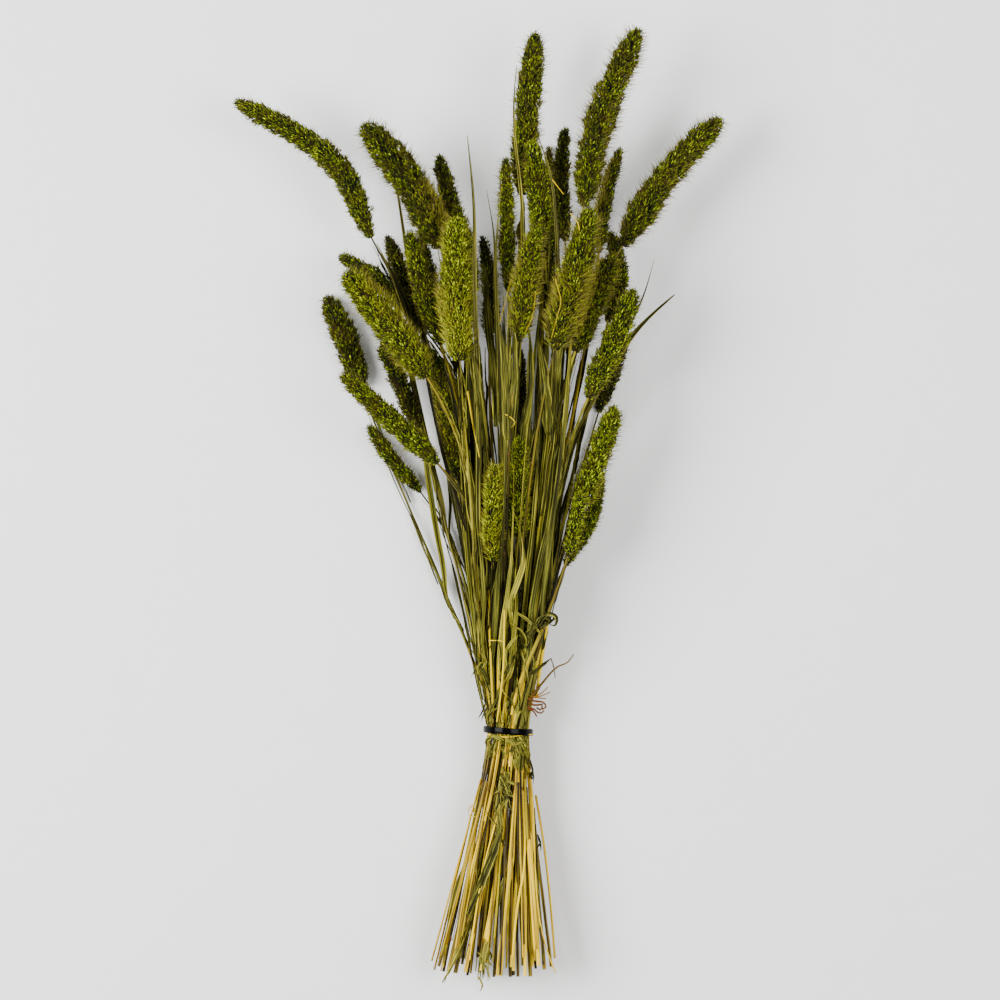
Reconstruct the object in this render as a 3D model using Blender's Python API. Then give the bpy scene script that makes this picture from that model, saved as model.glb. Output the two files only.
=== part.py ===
"""Dried setaria: a tied bunch of dried foxtail millet, lying on a surface.

Plan: +Y runs along the bunch from the cut ends to the seed heads, +X is to the right and +Z is up
from the surface.  The origin is under the middle of the bunch, on the surface.  All sizes below
are in millimetres, and MM turns them into Blender's metres.

Every culm with its seed head, and every leaf, is a strand: a smooth line in the plan with a round
cross-section.  The strands start on lines drawn through hand-placed points, and then settle: they
push each other apart until none touches another, as the real stems do when they are tied.
"""
import math

import bmesh
import bpy
import numpy as np

MM = 0.001

# Seed heads from base to tip: plan x, y of the base, the middle and the tip, the greatest
# thickness, and how high the head lies, from -1 on the surface to 1 on top of the bunch.
SEED_HEADS = [
    (-78, 199, -119, 266, -176, 298, 19, -0.10),
    (-27, 191, -50, 240, -82, 280, 26, 0.30),
    (-16, 181, -20, 223, -28, 259, 15, -0.40),
    (-39, 133, -69, 166, -99, 185, 15, -0.20),
    (-36, 96, -65, 136, -95, 171, 24, 0.60),
    (-86, 90, -97, 124, -111, 155, 20, -1.00),
    (-29, 33, -64, 66, -98, 97, 17, 0.45),
    (-42, 12, -63, 36, -80, 60, 12, -1.00),
    (-39, 128, -54, 165, -67, 200, 14, -0.70),
    (-26, 120, -39, 160, -49, 201, 16, 0.25),
    (-12, 108, -15, 159, -15, 210, 24, 0.85),
    (33, 230, 37, 289, 43, 347, 20, 0.10),
    (78, 221, 90, 284, 118, 349, 22, 0.30),
    (107, 193, 141, 246, 178, 285, 21, -0.10),
    (65, 197, 62, 241, 65, 279, 13, -0.60),
    (47, 193, 45, 230, 40, 266, 18, 0.45),
    (23, 159, 22, 208, 21, 255, 12, 0.30),
    (90, 188, 95, 230, 105, 263, 12, -0.30),
    (29, 122, 35, 164, 43, 204, 18, 0.80),
    (56, 116, 70, 166, 82, 217, 23, 0.90),
    (96, 137, 105, 172, 98, 202, 14, -0.40),
    (71, 115, 83, 149, 98, 183, 20, 0.40),
    (81, 81, 99, 119, 114, 158, 19, 0.60),
    (74, -1, 87, 33, 101, 73, 18, 0.50),
    (17, -39, 17, -5, 17, 30, 15, 1.00),
    (32, -23, 32, 14, 32, 50, 16, 0.50),
    (65, -42, 82, -11, 92, 22, 12, 0.10),
    (-11, 21, -18, 69, -33, 115, 18, 0.05),
    (-43, 59, -55, 89, -70, 120, 15, -0.60),
    (35, 41, 32, 80, 31, 116, 12, -0.80),
    (52, 131, 51, 175, 55, 218, 15, -0.20),
    (9, 124, 10, 160, 4, 199, 13, -0.80),
    (-21, 122, -33, 160, -42, 201, 13, -0.20),
    (-4, 153, -7, 190, -15, 221, 13, 0.10),
    (90, 71, 99, 98, 109, 127, 13, -1.00),
    (67, -35, 73, -10, 76, 11, 11, 0.95),
    (58, 190, 55, 230, 53, 266, 10, -1.00),
]
# Culms that have lost their head: plan x, y of the broken top and its height in the bunch.
BARE_CULMS = [(21, -75, 0.70), (-12, 45, -0.10), (44, 85, 0.10), (8, 60, -0.80), (62, 10, -0.30)]

# Leaves that show by themselves: blade width, the point near which they leave a culm, and the
# points they pass up to their tip, each as plan x, y and height level.  The last ones are leaf
# sheaths that hang down towards the cut ends.
LONG_LEAVES = [
    (6.0, (5, -60, 0.6), ((1, 90, 0.75), (-1, 160, 0.85), (-2, 219, 0.85), (-7, 272, 0.80))),
    (4.5, (15, -20, 0.4), ((14, 150, 0.45), (12, 205, 0.55), (7, 233, 0.60))),
    (5.0, (22, -70, 0.7), ((15, 120, 0.85), (14, 197, 0.70), (18, 237, 0.60))),
    (5.5, (25, 20, 0.3), ((33, 216, 0.35), (27, 300, 0.30), (29, 324, 0.25))),
    (5.0, (-20, -10, -0.2), ((-51, 177, -0.25), (-58, 226, -0.25), (-68, 285, -0.30))),
    (3.5, (75, 30, 0.2), ((112, 134, 0.20), (121, 153, 0.20), (130, 183, 0.15))),
    (12.0, (46, -60, -0.2), ((76, 60, -0.15), (100, 107, 0.0), (122, 136, 0.05), (145, 157, 0.0))),
    (5.0, (45, 40, 0.6), ((60, 195, 0.75), (54, 246, 0.75), (44, 275, 0.70))),
    (6.5, (20, -105, 0.9), ((22, -72, 0.95), (33, -38, 1.00), (26, -2, 1.00))),
    (7.0, (20, -205, 0.9), ((18, -240, 0.95), (4, -277, 0.95), (-10, -308, 0.90))),
    (4.5, (6, -240, 0.6), ((4, -282, 0.75), (-10, -315, 0.75), (-24, -349, 0.70))),
    (7.5, (16, -230, 0.5), ((10, -290, 0.55), (3, -346, 0.55))),
    (5.0, (-8, -255, 0.4), ((-18, -290, 0.45), (-25, -327, 0.45))),
    (4.0, (38, -215, 0.6), ((44, -273, 0.55), (49, -333, 0.55))),
    (4.5, (22, -240, 0.8), ((17, -278, 0.75), (10, -322, 0.70))),
]

# Along the bunch (y): plan x of its middle, half its width, and how high it stands.
BUNCH_SHAPE = [
    (-345, 11, 46, 60),
    (-164, 23, 17, 42),
    (-50, 24, 52, 66),
    (100, 10, 105, 100),
    (350, 2, 150, 112),
]
CUT_END_Y = -338
BUNCH_TOP_Y = 350
STATION_STEP = 24.0
ROWS_A_STATION = 3

TIE_Y = -164.0
TIE_X = 23.0
TIE_STRAP_WIDTH = 4.8
TIE_STRAP_THICKNESS = 1.2
TIE_INNER_RADIUS = 17.2
TIE_TILT = math.radians(-4)
TIE_SIDES = 24
TIE_BUCKLE = (8.0, 7.6, 5.4)
TIE_TAIL = (6.0, 4.2, 1.3)
TIE_Z = TIE_BUCKLE[2] - 0.5 + TIE_INNER_RADIUS + TIE_STRAP_THICKNESS
TIE_ROOM = 0.4

# Culms: their turn round the bunch between the tie and each end, scatter, and radii.
TWIST_ABOVE = math.radians(22)
TWIST_BELOW = math.radians(30)
CUT_SCATTER = 8.0
CUT_FAN = (0.9, 1.15)
CULM_RADIUS_LOW = (1.4, 1.95)
CULM_RADIUS_TOP = 1.05
TIED_RADIUS = 1.95
SHEATH_REACH = 60.0
CULM_SIDES = 5

# Leaves among the stems: where they start and end along the bunch, and their widths and turns.
LEAF_ROOT_Y = (-140, 5)
LEAF_LENGTH = (130, 235)
LEAF_TOP_Y = 215
LEAF_WIDTH = (4.0, 7.0)
LEAF_TURN = 40
LONG_LEAF_TURN = 15
LEAF_WAVE = math.radians(12)
LEAF_CORE = 1.4
LEAF_KEEL = 1.0
LEAF_EDGE = 0.45
LEAF_GAP = 0.5
LEAF_SPREAD = 0.55
BACK_LEVEL = -0.35

# Settling: gaps to keep, the hold of the tie, and how strands give way to each other.
STRAND_GAP = 1.0
TIED_GAP = 0.5
TOUCHING_GAP = 0.3
TIE_GRIP = 30.0
TIE_EASE = 0.75
TIE_PITCH = 4.4
INNERMOST_RING = 2.3
FUNNEL_START = 6.0
FUNNEL_REACH = 45.0
FUNNEL_SLOPE = 0.12
PAIR_REACH = 22.0
PAIR_PULL = 0.3
PRESSED_SHARE = 0.6
ROOT_RAMP = 30.0
ROOT_HOLD = 25.0
SURFACE_SINK = 0.5
CULM_WEIGHT = 1.0
LEAF_WEIGHT = 3.0
CULM_STIFFNESS = 0.5
LEAF_STIFFNESS = 0.4
PUSH = 0.75
PUSH_ASIDE = 0.8
PUSH_HEAD_ASIDE = 0.35
PUSH_UP = 1.15
NEAR = 4.0
EARLY_MEMORY = (0.97, 0.988)
LATE_MEMORY = (0.996, 0.998)
LATE_STIFFNESS = 0.12
CULM_ROUNDS = 240
PAIR_ROUNDS = 160
LEAF_ROUNDS = 420

# Faceted forms: sides and rows of a seed head's relief, and how far a polyline may cut corners.
HEAD_SIDES = 6
HEAD_ROW = 10.4
HEAD_VALLEY = 0.76
HEAD_CELL_LEAN = 0.35
CULM_TOLERANCE = 0.5
LEAF_TOLERANCE = 0.65
SLIVER = 0.006
SEED = 7

SEED_HEAD_COLOUR = (0.10, 0.15, 0.012, 1.0)
STALK_COLOUR = (0.30, 0.28, 0.07, 1.0)
TIE_COLOUR = (0.012, 0.012, 0.016, 1.0)


def clear_scene():
    for obj in list(bpy.data.objects):
        bpy.data.objects.remove(obj, do_unlink=True)


def make_material(name, colour, roughness):
    material = bpy.data.materials.new(name)
    material.use_nodes = True
    surface = material.node_tree.nodes["Principled BSDF"]
    surface.inputs["Base Color"].default_value = colour
    surface.inputs["Roughness"].default_value = roughness
    surface.inputs["Metallic"].default_value = 0.0
    material.diffuse_color = colour
    return material


# Layout of the strands

def bunch_at(y):
    """Middle x, half width and height of the bunch at y."""
    along = [row[0] for row in BUNCH_SHAPE]
    return [float(np.interp(y, along, [row[k] for row in BUNCH_SHAPE])) for k in (1, 2, 3)]


def height_in_bunch(y, level, radius):
    """Height of a centre line that lies at a level from -1 (on the surface) to 1 (on top)."""
    return radius + (level + 1) / 2 * (bunch_at(y)[2] - 2 * radius)


def smooth_line(points, y):
    """Points (y, x, z) joined by a smooth curve, read at each y; straight past its ends."""
    points = np.array(points, float)
    step = np.diff(points[:, 0])
    slope = np.diff(points[:, 1:], axis=0) / step[:, None]
    tangent = np.vstack([slope[:1], slope])
    before, after = step[:-1, None], step[1:, None]
    tangent[1:-1] = (slope[:-1] * after + slope[1:] * before) / (before + after)
    tangent[-1] = 1.5 * slope[-1] - 0.5 * tangent[-2]
    y = np.asarray(y, float)
    k = np.clip(np.searchsorted(points[:, 0], y) - 1, 0, len(step) - 1)
    t = (y - points[k, 0]) / step[k]
    s = np.clip(t, 0, 1)[:, None]
    h = step[k][:, None]
    line = ((2 * s**3 - 3 * s**2 + 1) * points[k, 1:] + (s**3 - 2 * s**2 + s) * h * tangent[k]
            + (3 * s**2 - 2 * s**3) * points[k + 1, 1:] + (s**3 - s**2) * h * tangent[k + 1])
    line += np.where(t < 0, y - points[0, 0], 0)[:, None] * tangent[0]
    line += np.where(t > 1, y - points[-1, 0], 0)[:, None] * tangent[-1]
    return line


def culm_radius(culm, y):
    """Radius of a culm: swollen by its leaf sheaths at the tie, and thin below its head."""
    along = [CUT_END_Y, TIE_Y - SHEATH_REACH, TIE_Y, TIE_Y + SHEATH_REACH, culm["top"]]
    low = culm["radius"]
    return np.interp(y, along, [low, low, TIED_RADIUS, 0.8 * low + 0.2 * TIED_RADIUS,
                                CULM_RADIUS_TOP])


def head_share(t):
    """Thickness along a seed head, from 0 at its base to 1 at its tip, as a share of the most."""
    return np.interp(t, [0, 0.08, 0.3, 0.65, 0.88, 1.0], [0.55, 0.82, 1.0, 0.97, 0.8, 0.48])


def places_in_tie(spots):
    """Each culm's radius and angle in the tie: rings filled from the outside, in order round."""
    reach = np.hypot(spots[:, 0], spots[:, 1])
    angle = np.arctan2(spots[:, 1], spots[:, 0])
    inward = list(np.argsort(-reach))
    radius = np.zeros(len(spots))
    turn = np.zeros(len(spots))
    ring_radius = TIE_INNER_RADIUS - TIE_ROOM - TIED_RADIUS
    while inward:
        count = max(3, int(2 * math.pi * ring_radius / TIE_PITCH))
        ring = sorted(inward[:count], key=lambda n: angle[n])
        inward = inward[count:]
        even = 2 * math.pi * np.arange(len(ring)) / len(ring)
        start = np.angle(np.exp(1j * (angle[ring] - even)).sum())
        radius[ring] = ring_radius
        turn[ring] = start + even
        ring_radius = max(ring_radius - TIE_PITCH, INNERMOST_RING)
    return radius, turn


def culm_strands():
    """A strand for each culm: through its cut end, its place in the tie, and its head."""
    rng = np.random.default_rng(SEED)
    tops = [(head[0], head[1], head[7], head) for head in SEED_HEADS]
    tops += [(x, y, level, None) for x, y, level in BARE_CULMS]
    spots = np.array([((x - bunch_at(y)[0]) / bunch_at(y)[1], level) for x, y, level, _ in tops])
    strands = []
    for (x, y, level, head), reach, turn in zip(tops, *places_in_tie(spots)):
        cut_y = CUT_END_Y + rng.uniform(-CUT_SCATTER, CUT_SCATTER)
        in_tie = turn + TWIST_ABOVE
        at_cut = in_tie + TWIST_BELOW
        middle, half, _ = bunch_at(cut_y)
        fan = reach / TIE_INNER_RADIUS * rng.uniform(*CUT_FAN)
        low_radius = rng.uniform(*CULM_RADIUS_LOW)
        cut = np.array([middle + half * fan * math.cos(at_cut),
                        height_in_bunch(cut_y, fan * math.sin(at_cut), low_radius)])
        tie = np.array([TIE_X + reach * math.cos(in_tie), TIE_Z + reach * math.sin(in_tie)])
        thick = head[6] if head else 2 * CULM_RADIUS_TOP
        base = np.array([x, height_in_bunch(y, level, thick / 3)])
        below = tie + (cut - tie) * TIE_GRIP / (TIE_Y - cut_y) * TIE_EASE
        above = tie + (base - tie) * TIE_GRIP / (y - TIE_Y) * TIE_EASE
        points = [(cut_y, *cut), (TIE_Y - TIE_GRIP, *below), (TIE_Y, *tie),
                  (TIE_Y + TIE_GRIP, *above), (y, *base)]
        if head:
            mid_x, mid_y, tip_x, tip_y = head[2:6]
            points.append((mid_y, mid_x, height_in_bunch(mid_y, level, thick / 2)))
            points.append((tip_y, tip_x, height_in_bunch(tip_y, level, thick / 4)))
        strands.append(dict(points=points, low=cut_y, high=points[-1][0], top=y, head=head,
                            level=level, radius=low_radius, culm=None))
    return strands


def leaf_strands(culms, offset, stations):
    """Leaves on the settled culms: those that show by themselves, and those among the stems."""
    rng = np.random.default_rng(SEED + 1)
    leaves = []

    def on_culm(index, y):
        return strand_line(culms, offset, stations, index, y)[0][0, [0, 2]]

    def add_leaf(index, root_y, points, width, most_turn):
        points = sorted([(root_y, *on_culm(index, root_y)), *points])
        leaves.append(dict(points=points, low=points[0][0], high=points[-1][0], root=root_y,
                           top=0, head=None, culm=index, width=width, most_turn=most_turn))

    for width, (x, y, level), marks in LONG_LEAVES:
        z = height_in_bunch(y, level, LEAF_CORE)
        reached = [n for n, culm in enumerate(culms) if y < culm["top"] - 10]
        nearest = min(reached, key=lambda n: math.dist(on_culm(n, y), (x, z)))
        points = [(my, mx, height_in_bunch(my, high, LEAF_CORE)) for mx, my, high in marks]
        add_leaf(nearest, y, points, width, LONG_LEAF_TURN)
    for index, culm in enumerate(culms):
        for _ in range(1 if culm["level"] < BACK_LEVEL else 2):
            root_y = rng.uniform(LEAF_ROOT_Y[0], min(LEAF_ROOT_Y[1], culm["top"] - 40))
            tip_y = min(root_y + rng.uniform(*LEAF_LENGTH), LEAF_TOP_Y)
            x, z = on_culm(index, root_y)
            meet_y = min(tip_y, culm["top"])
            tip_x, tip_z = on_culm(index, meet_y)
            lean = (tip_y - root_y) / (meet_y - root_y)
            tip_x = x + (tip_x - x) * lean
            tip_z = z + (tip_z - z) * lean
            middle, half, high = bunch_at(tip_y)
            tip_x = middle + (tip_x - middle) * 0.75 + rng.uniform(-14, 14)
            tip_x = min(max(tip_x, middle - LEAF_SPREAD * half), middle + LEAF_SPREAD * half)
            tip_z = high / 2 + (tip_z - high / 2) * 0.9 + rng.uniform(-6, 12)
            half_way = ((root_y + tip_y) / 2, (x + tip_x) / 2 + rng.uniform(-5, 5),
                        (z + tip_z) / 2 + rng.uniform(-3, 3))
            add_leaf(index, root_y, [half_way, (tip_y, tip_x, tip_z)],
                     rng.uniform(*LEAF_WIDTH), LEAF_TURN)
    return leaves


def from_root(leaf, y):
    """Distance along the bunch from a leaf's root, whichever way the leaf points."""
    return (y - leaf["root"]) * (1 if leaf["high"] > leaf["root"] else -1)


def strand_radii(strands, rows):
    """Radius of each strand at each row, wider where it slants, and 0 past its ends."""
    radii = np.zeros((len(rows), len(strands)))
    for n, strand in enumerate(strands):
        slope = smooth_line(strand["points"], rows + 1) - smooth_line(strand["points"], rows)
        wider = np.sqrt(1 + np.minimum((slope**2).sum(1), 2.5))
        if strand["culm"] is None:
            radius = culm_radius(strand, rows)
        else:
            radius = np.full(len(rows), LEAF_CORE)
        if strand["head"]:
            t = (rows - strand["top"]) / (strand["high"] - strand["top"])
            inside = (t > -0.02) & (t < 1.05)
            radius = np.where(inside, strand["head"][6] / 2 * head_share(np.clip(t, 0, 1)), radius)
        outside = (rows < strand["low"] - 1) | (rows > strand["high"] + 2)
        radii[:, n] = np.where(outside, 0, radius * wider)
    return radii


def rows_from_stations(row_count, station_count):
    """Matrix that reads values at the rows from values at the stations."""
    spread = np.zeros((row_count, station_count))
    for row in range(row_count):
        before, part = divmod(row, ROWS_A_STATION)
        spread[row, before] += 1 - part / ROWS_A_STATION
        spread[row, min(before + 1, station_count - 1)] += part / ROWS_A_STATION
    return spread


def pair_facts(strands, rows, tied):
    """Every pair of strands, and what pushing them apart has to know about them."""
    first, second = np.triu_indices(len(strands), 1)
    in_head = [[bool(s["head"]) and s["top"] - 5 < y < s["high"] + 5 for s in strands]
               for y in rows]
    clearing = [np.ones(len(rows)) if s["culm"] is None
                else np.clip(from_root(s, rows) / ROOT_RAMP, 0, 1) for s in strands]
    return dict(
        first=first, second=second, in_head=np.array(in_head), clearing=np.array(clearing).T,
        own_culm=np.array([strands[j]["culm"] == i for i, j in zip(first, second)]),
        tied=np.array([pair in tied for pair in zip(first, second)]),
        gap=np.interp(np.abs(rows - TIE_Y), [TIE_GRIP, 2 * TIE_GRIP], [TIED_GAP, STRAND_GAP]),
        weight=np.array([CULM_WEIGHT if s["culm"] is None else LEAF_WEIGHT for s in strands]))


def near_contacts(at, rows, radii, facts):
    """Where two strands lie near each other: the row, both strands, the distance that they
    need, how readily they slide aside, and the first one's share of the push."""
    i, j = facts["first"], facts["second"]
    apart = np.hypot(at[:, j, 0] - at[:, i, 0], at[:, j, 1] - at[:, i, 1])
    need = radii[:, i] + radii[:, j] + facts["gap"][:, None]
    row, pair = np.nonzero((radii[:, i] > 0) & (radii[:, j] > 0) & (apart < need + NEAR))
    i, j, need = i[pair], j[pair], need[row, pair]
    need = np.where(facts["own_culm"][pair], need * facts["clearing"][row, j], need)
    pressed = facts["tied"][pair] & (np.abs(rows[row] - TIE_Y) < PAIR_REACH)
    need = np.where(pressed, 0, need)
    heads = facts["in_head"][row, i] & facts["in_head"][row, j]
    slide = np.where(heads, PUSH_HEAD_ASIDE, PUSH_ASIDE)
    share = facts["weight"][i] / (facts["weight"][i] + facts["weight"][j])
    return row, i, j, need, slide, share


def push_apart(at, contacts):
    """How far each strand has to move at each row to clear those that it touches."""
    row, i, j, need, slide, share = contacts
    way = at[row, j] - at[row, i]
    apart = np.hypot(way[:, 0], way[:, 1]) + 1e-6
    depth = np.maximum(need - apart, 0)
    way /= apart[:, None]
    push = np.stack([depth * way[:, 0] * slide, depth * way[:, 1] * PUSH_UP], 1)
    moved = np.zeros(at.shape)
    rows, count, _ = at.shape
    for k in (0, 1):
        gain = np.bincount(row * count + j, push[:, k] * (1 - share), rows * count)
        loss = np.bincount(row * count + i, push[:, k] * share, rows * count)
        moved[:, :, k] = (gain - loss).reshape(rows, count)
    return moved


def press_pairs(line, size_at, stations, tied):
    """Draw each tied pair of culms together near the tie, where they are fused."""
    for s in np.nonzero(np.abs(stations - TIE_Y) < PAIR_REACH)[0]:
        for i, j in tied:
            way = line[s, j] - line[s, i]
            far = math.hypot(*way) + 1e-6
            pull = PAIR_PULL * (far - PRESSED_SHARE * (size_at[s, i] + size_at[s, j])) / far * way
            line[s, i] += pull
            line[s, j] -= pull


def hold_in_tie(line, size_at, stations):
    """Keep every strand inside the tie, and in the funnels just above and below it."""
    middle = np.array([TIE_X, TIE_Z])
    for s in np.nonzero(np.abs(stations - TIE_Y) < FUNNEL_REACH)[0]:
        past = max(abs(stations[s] - TIE_Y) - FUNNEL_START, 0)
        limit = TIE_INNER_RADIUS - TIE_ROOM + FUNNEL_SLOPE * past
        way = line[s] - middle
        far = np.hypot(way[:, 0], way[:, 1])
        out = (size_at[s] > 0) & (far + size_at[s] > limit)
        line[s, out] = middle + way[out] * ((limit - size_at[s, out]) / far[out])[:, None]


def settle(strands, start, stations, rounds, pairs):
    """Push the strands apart, in height rather than in plan, until they lie clear.

    start and the result are offsets from the strands' own lines, at the stations.
    """
    count = len(strands)
    rows = np.linspace(stations[0], stations[-1], ROWS_A_STATION * (len(stations) - 1) + 1)
    target = np.stack([smooth_line(s["points"], rows) for s in strands], 1)
    planned = target[::ROWS_A_STATION]
    offset = np.zeros((len(stations), count, 2))
    offset[:, :start.shape[1]] = start
    radii = strand_radii(strands, rows)
    size_at = radii[::ROWS_A_STATION]
    spread = rows_from_stations(len(rows), len(stations))
    gather = (spread / spread.sum(0)).T
    facts = pair_facts(strands, rows, set(pairs))
    stiffness = np.array([CULM_STIFFNESS if s["culm"] is None else LEAF_STIFFNESS
                          for s in strands])[:, None]
    roots = [(n, s["culm"], np.clip(1 - from_root(s, stations) / ROOT_HOLD, 0, 1)[:, None])
             for n, s in enumerate(strands) if s["culm"] is not None]
    lowest = np.where(size_at > 0, size_at - SURFACE_SINK, -50)
    for turn in range(rounds):
        late = turn > rounds * 0.7
        at = target + np.einsum("rs,snk->rnk", spread, offset)
        if turn % 8 == 0:
            contacts = near_contacts(at, rows, radii, facts)
        offset += PUSH * np.einsum("sr,rnk->snk", gather, push_apart(at, contacts))
        offset *= np.array(LATE_MEMORY if late else EARLY_MEMORY)
        for _ in range(1 if late else 4):
            even = 0.25 * offset[:-2] + 0.5 * offset[1:-1] + 0.25 * offset[2:]
            give = LATE_STIFFNESS if turn > rounds * 0.9 else 1
            offset[1:-1] += (even - offset[1:-1]) * stiffness * give
        line = planned + offset
        for n, culm, hold in roots:
            line[:, n] += (line[:, culm] - line[:, n]) * hold
        press_pairs(line, size_at, stations, pairs)
        hold_in_tie(line, size_at, stations)
        line[:, :, 1] = np.maximum(line[:, :, 1], lowest)
        offset = line - planned
    return offset


def strand_line(strands, offset, stations, index, y):
    """Centre points (x, y, z) of a settled strand at each y, and the unit tangents."""
    y = np.atleast_1d(np.asarray(y, float))
    track = np.column_stack([stations, offset[:, index]])

    def at(along):
        return smooth_line(strands[index]["points"], along) + smooth_line(track, along)

    near = at(y)
    slope = (at(y + 1.0) - at(y - 1.0)) / 2
    points = np.column_stack([near[:, 0], y, near[:, 1]])
    tangent = np.column_stack([slope[:, 0], np.ones(len(y)), slope[:, 1]])
    return points, tangent / np.linalg.norm(tangent, axis=1)[:, None]


def settled(strands, offset, stations, rows):
    """Plan x and height of every strand at each row."""
    lines = [strand_line(strands, offset, stations, n, rows)[0] for n in range(len(strands))]
    return np.stack([points[:, [0, 2]] for points in lines], 1)


def neighbour_pairs(places):
    """Pair the culms that lie side by side in the tie."""
    count = len(places)
    apart = np.hypot(*(places[:, None] - places[None, :]).transpose(2, 0, 1))
    order = sorted((apart[i, j], i, j) for i in range(count) for j in range(i + 1, count))
    free = set(range(count))
    pairs = []
    for _, i, j in order:
        if i in free and j in free:
            pairs.append((i, j))
            free -= {i, j}
    better = True
    while better:
        better = False
        for a in range(len(pairs)):
            for b in range(a + 1, len(pairs)):
                (i, j), (k, l) = pairs[a], pairs[b]
                now = apart[i, j]**2 + apart[k, l]**2
                for p, q in (((i, k), (j, l)), ((i, l), (j, k))):
                    if apart[p]**2 + apart[q]**2 < now - 1e-6:
                        pairs[a], pairs[b] = p, q
                        better = True
                        break
    return [tuple(sorted(pair)) for pair in pairs]


def lay_out():
    """All strands, their settled offsets, and the pairs of culms that are pressed together."""
    low = TIE_Y - STATION_STEP * math.ceil((TIE_Y - CUT_END_Y + 14) / STATION_STEP)
    stations = np.arange(low, BUNCH_TOP_Y + STATION_STEP, STATION_STEP)
    culms = culm_strands()
    offset = settle(culms, np.zeros((len(stations), 0, 2)), stations, CULM_ROUNDS, ())
    pairs = neighbour_pairs(settled(culms, offset, stations, [TIE_Y])[0])
    offset = settle(culms, offset, stations, PAIR_ROUNDS, pairs)
    strands = culms + leaf_strands(culms, offset, stations)
    offset = settle(strands, offset, stations, LEAF_ROUNDS, pairs)
    return strands, offset, stations, pairs


def side_and_up(tangent):
    """Unit vectors across a strand: to the side, along the surface, and up from it."""
    side = np.cross(tangent, [0.0, 0.0, 1.0])
    side /= np.linalg.norm(side, axis=1)[:, None]
    return side, np.cross(side, tangent)


def leaf_blades(strands, offset, stations, rows):
    """Turn and half widths of each leaf at each row, held back where another strand is near."""
    rng = np.random.default_rng(SEED + 2)
    at = settled(strands, offset, stations, rows)
    radii = strand_radii(strands, rows)
    spots = [[] for _ in rows]
    for r in range(len(rows)):
        for n, strand in enumerate(strands):
            if radii[r, n] > 0:
                spots[r].append((at[r, n, 0], at[r, n, 1], radii[r, n], n))
    blades = {}
    for n, strand in enumerate(strands):
        if strand["culm"] is None:
            continue
        reach = strand["high"] - strand["low"]
        t = np.clip(from_root(strand, rows) / reach, 0, 1)
        most = strand["most_turn"]
        turn = (math.radians(rng.uniform(-most, most)) + math.radians(rng.uniform(-most, most)) * t
                + LEAF_WAVE * np.sin(rng.uniform(0, 6) + t * rng.uniform(3, 8)))
        full = strand["width"] / 2 * np.interp(t, [0, 0.12, 0.45, 0.75, 1], [0.4, 0.8, 1, 0.7, 0.12])
        half = np.stack([full, full])
        for r in np.nonzero(radii[:, n] > 0)[0]:
            way = np.array([math.cos(turn[r]), math.sin(turn[r])])
            for x, z, radius, other in spots[r]:
                if other == n or (other == strand["culm"]
                                  and from_root(strand, rows[r]) < ROOT_RAMP):
                    continue
                rel = np.array([x, z]) - at[r, n]
                clear = radius + LEAF_GAP + 0.4
                for side, sign in ((0, -1), (1, 1)):
                    along = sign * float(rel @ way)
                    cut = along**2 - (rel @ rel - clear**2)
                    if along > 0 and cut > 0:
                        half[side, r] = min(half[side, r], max(along - math.sqrt(cut), 0.5))
        for side in (0, 1):
            held = half[side].copy()
            held[1:-1] = np.minimum(np.minimum(held[:-2], held[2:]), held[1:-1])
            half[side, 1:-1] = 0.25 * held[:-2] + 0.5 * held[1:-1] + 0.25 * held[2:]
            half[side] = np.minimum(half[side], full)
        blades[n] = (turn, half)
        for r in np.nonzero(radii[:, n] > 0)[0]:
            way = np.array([math.cos(turn[r]), math.sin(turn[r])])
            spots[r] = [spot for spot in spots[r] if spot[3] != n]
            for f in np.linspace(-half[0, r], half[1, r], 5):
                x, z = at[r, n] + f * way
                spots[r].append((x, z, 0.55, n))
    return blades


# Solids

def kept_stations(tracks, tolerance):
    """Indices of the stations that a polyline through all the tracks cannot do without."""
    count = len(tracks)
    kept = [0]
    while kept[-1] < count - 1:
        best = kept[-1] + 1
        for end in range(kept[-1] + 2, count):
            span = np.linspace(0, 1, end - kept[-1] + 1)[1:-1]
            share = span.reshape((-1,) + (1,) * (tracks.ndim - 1))
            straight = tracks[kept[-1]] * (1 - share) + tracks[end] * share
            if np.abs(straight - tracks[kept[-1] + 1:end]).max() > tolerance:
                break
            best = end
        kept.append(best)
    return kept


def add_mesh(name, vertices, faces):
    """A closed solid from vertices in millimetres, none of them below the surface."""
    mesh = bpy.data.meshes.new(name)
    raised = [(x * MM, y * MM, max(z, 0.0) * MM) for x, y, z in vertices]
    mesh.from_pydata(raised, [], faces)
    shape = bmesh.new()
    shape.from_mesh(mesh)
    bmesh.ops.recalc_face_normals(shape, faces=shape.faces)
    shape.to_mesh(mesh)
    shape.free()
    obj = bpy.data.objects.new(name, mesh)
    bpy.context.scene.collection.objects.link(obj)
    return obj


def ring_faces(rings, sides):
    """Side faces of a tube of rings, each quad split the same way, and its two end caps."""
    faces = []
    for ring in range(rings - 1):
        for k in range(sides):
            a = ring * sides + k
            b = ring * sides + (k + 1) % sides
            faces.append((a, b, b + sides))
            faces.append((a, b + sides, a + sides))
    faces.append(tuple(range(sides))[::-1])
    last = (rings - 1) * sides
    faces.append(tuple(range(last, last + sides)))
    return faces


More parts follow.
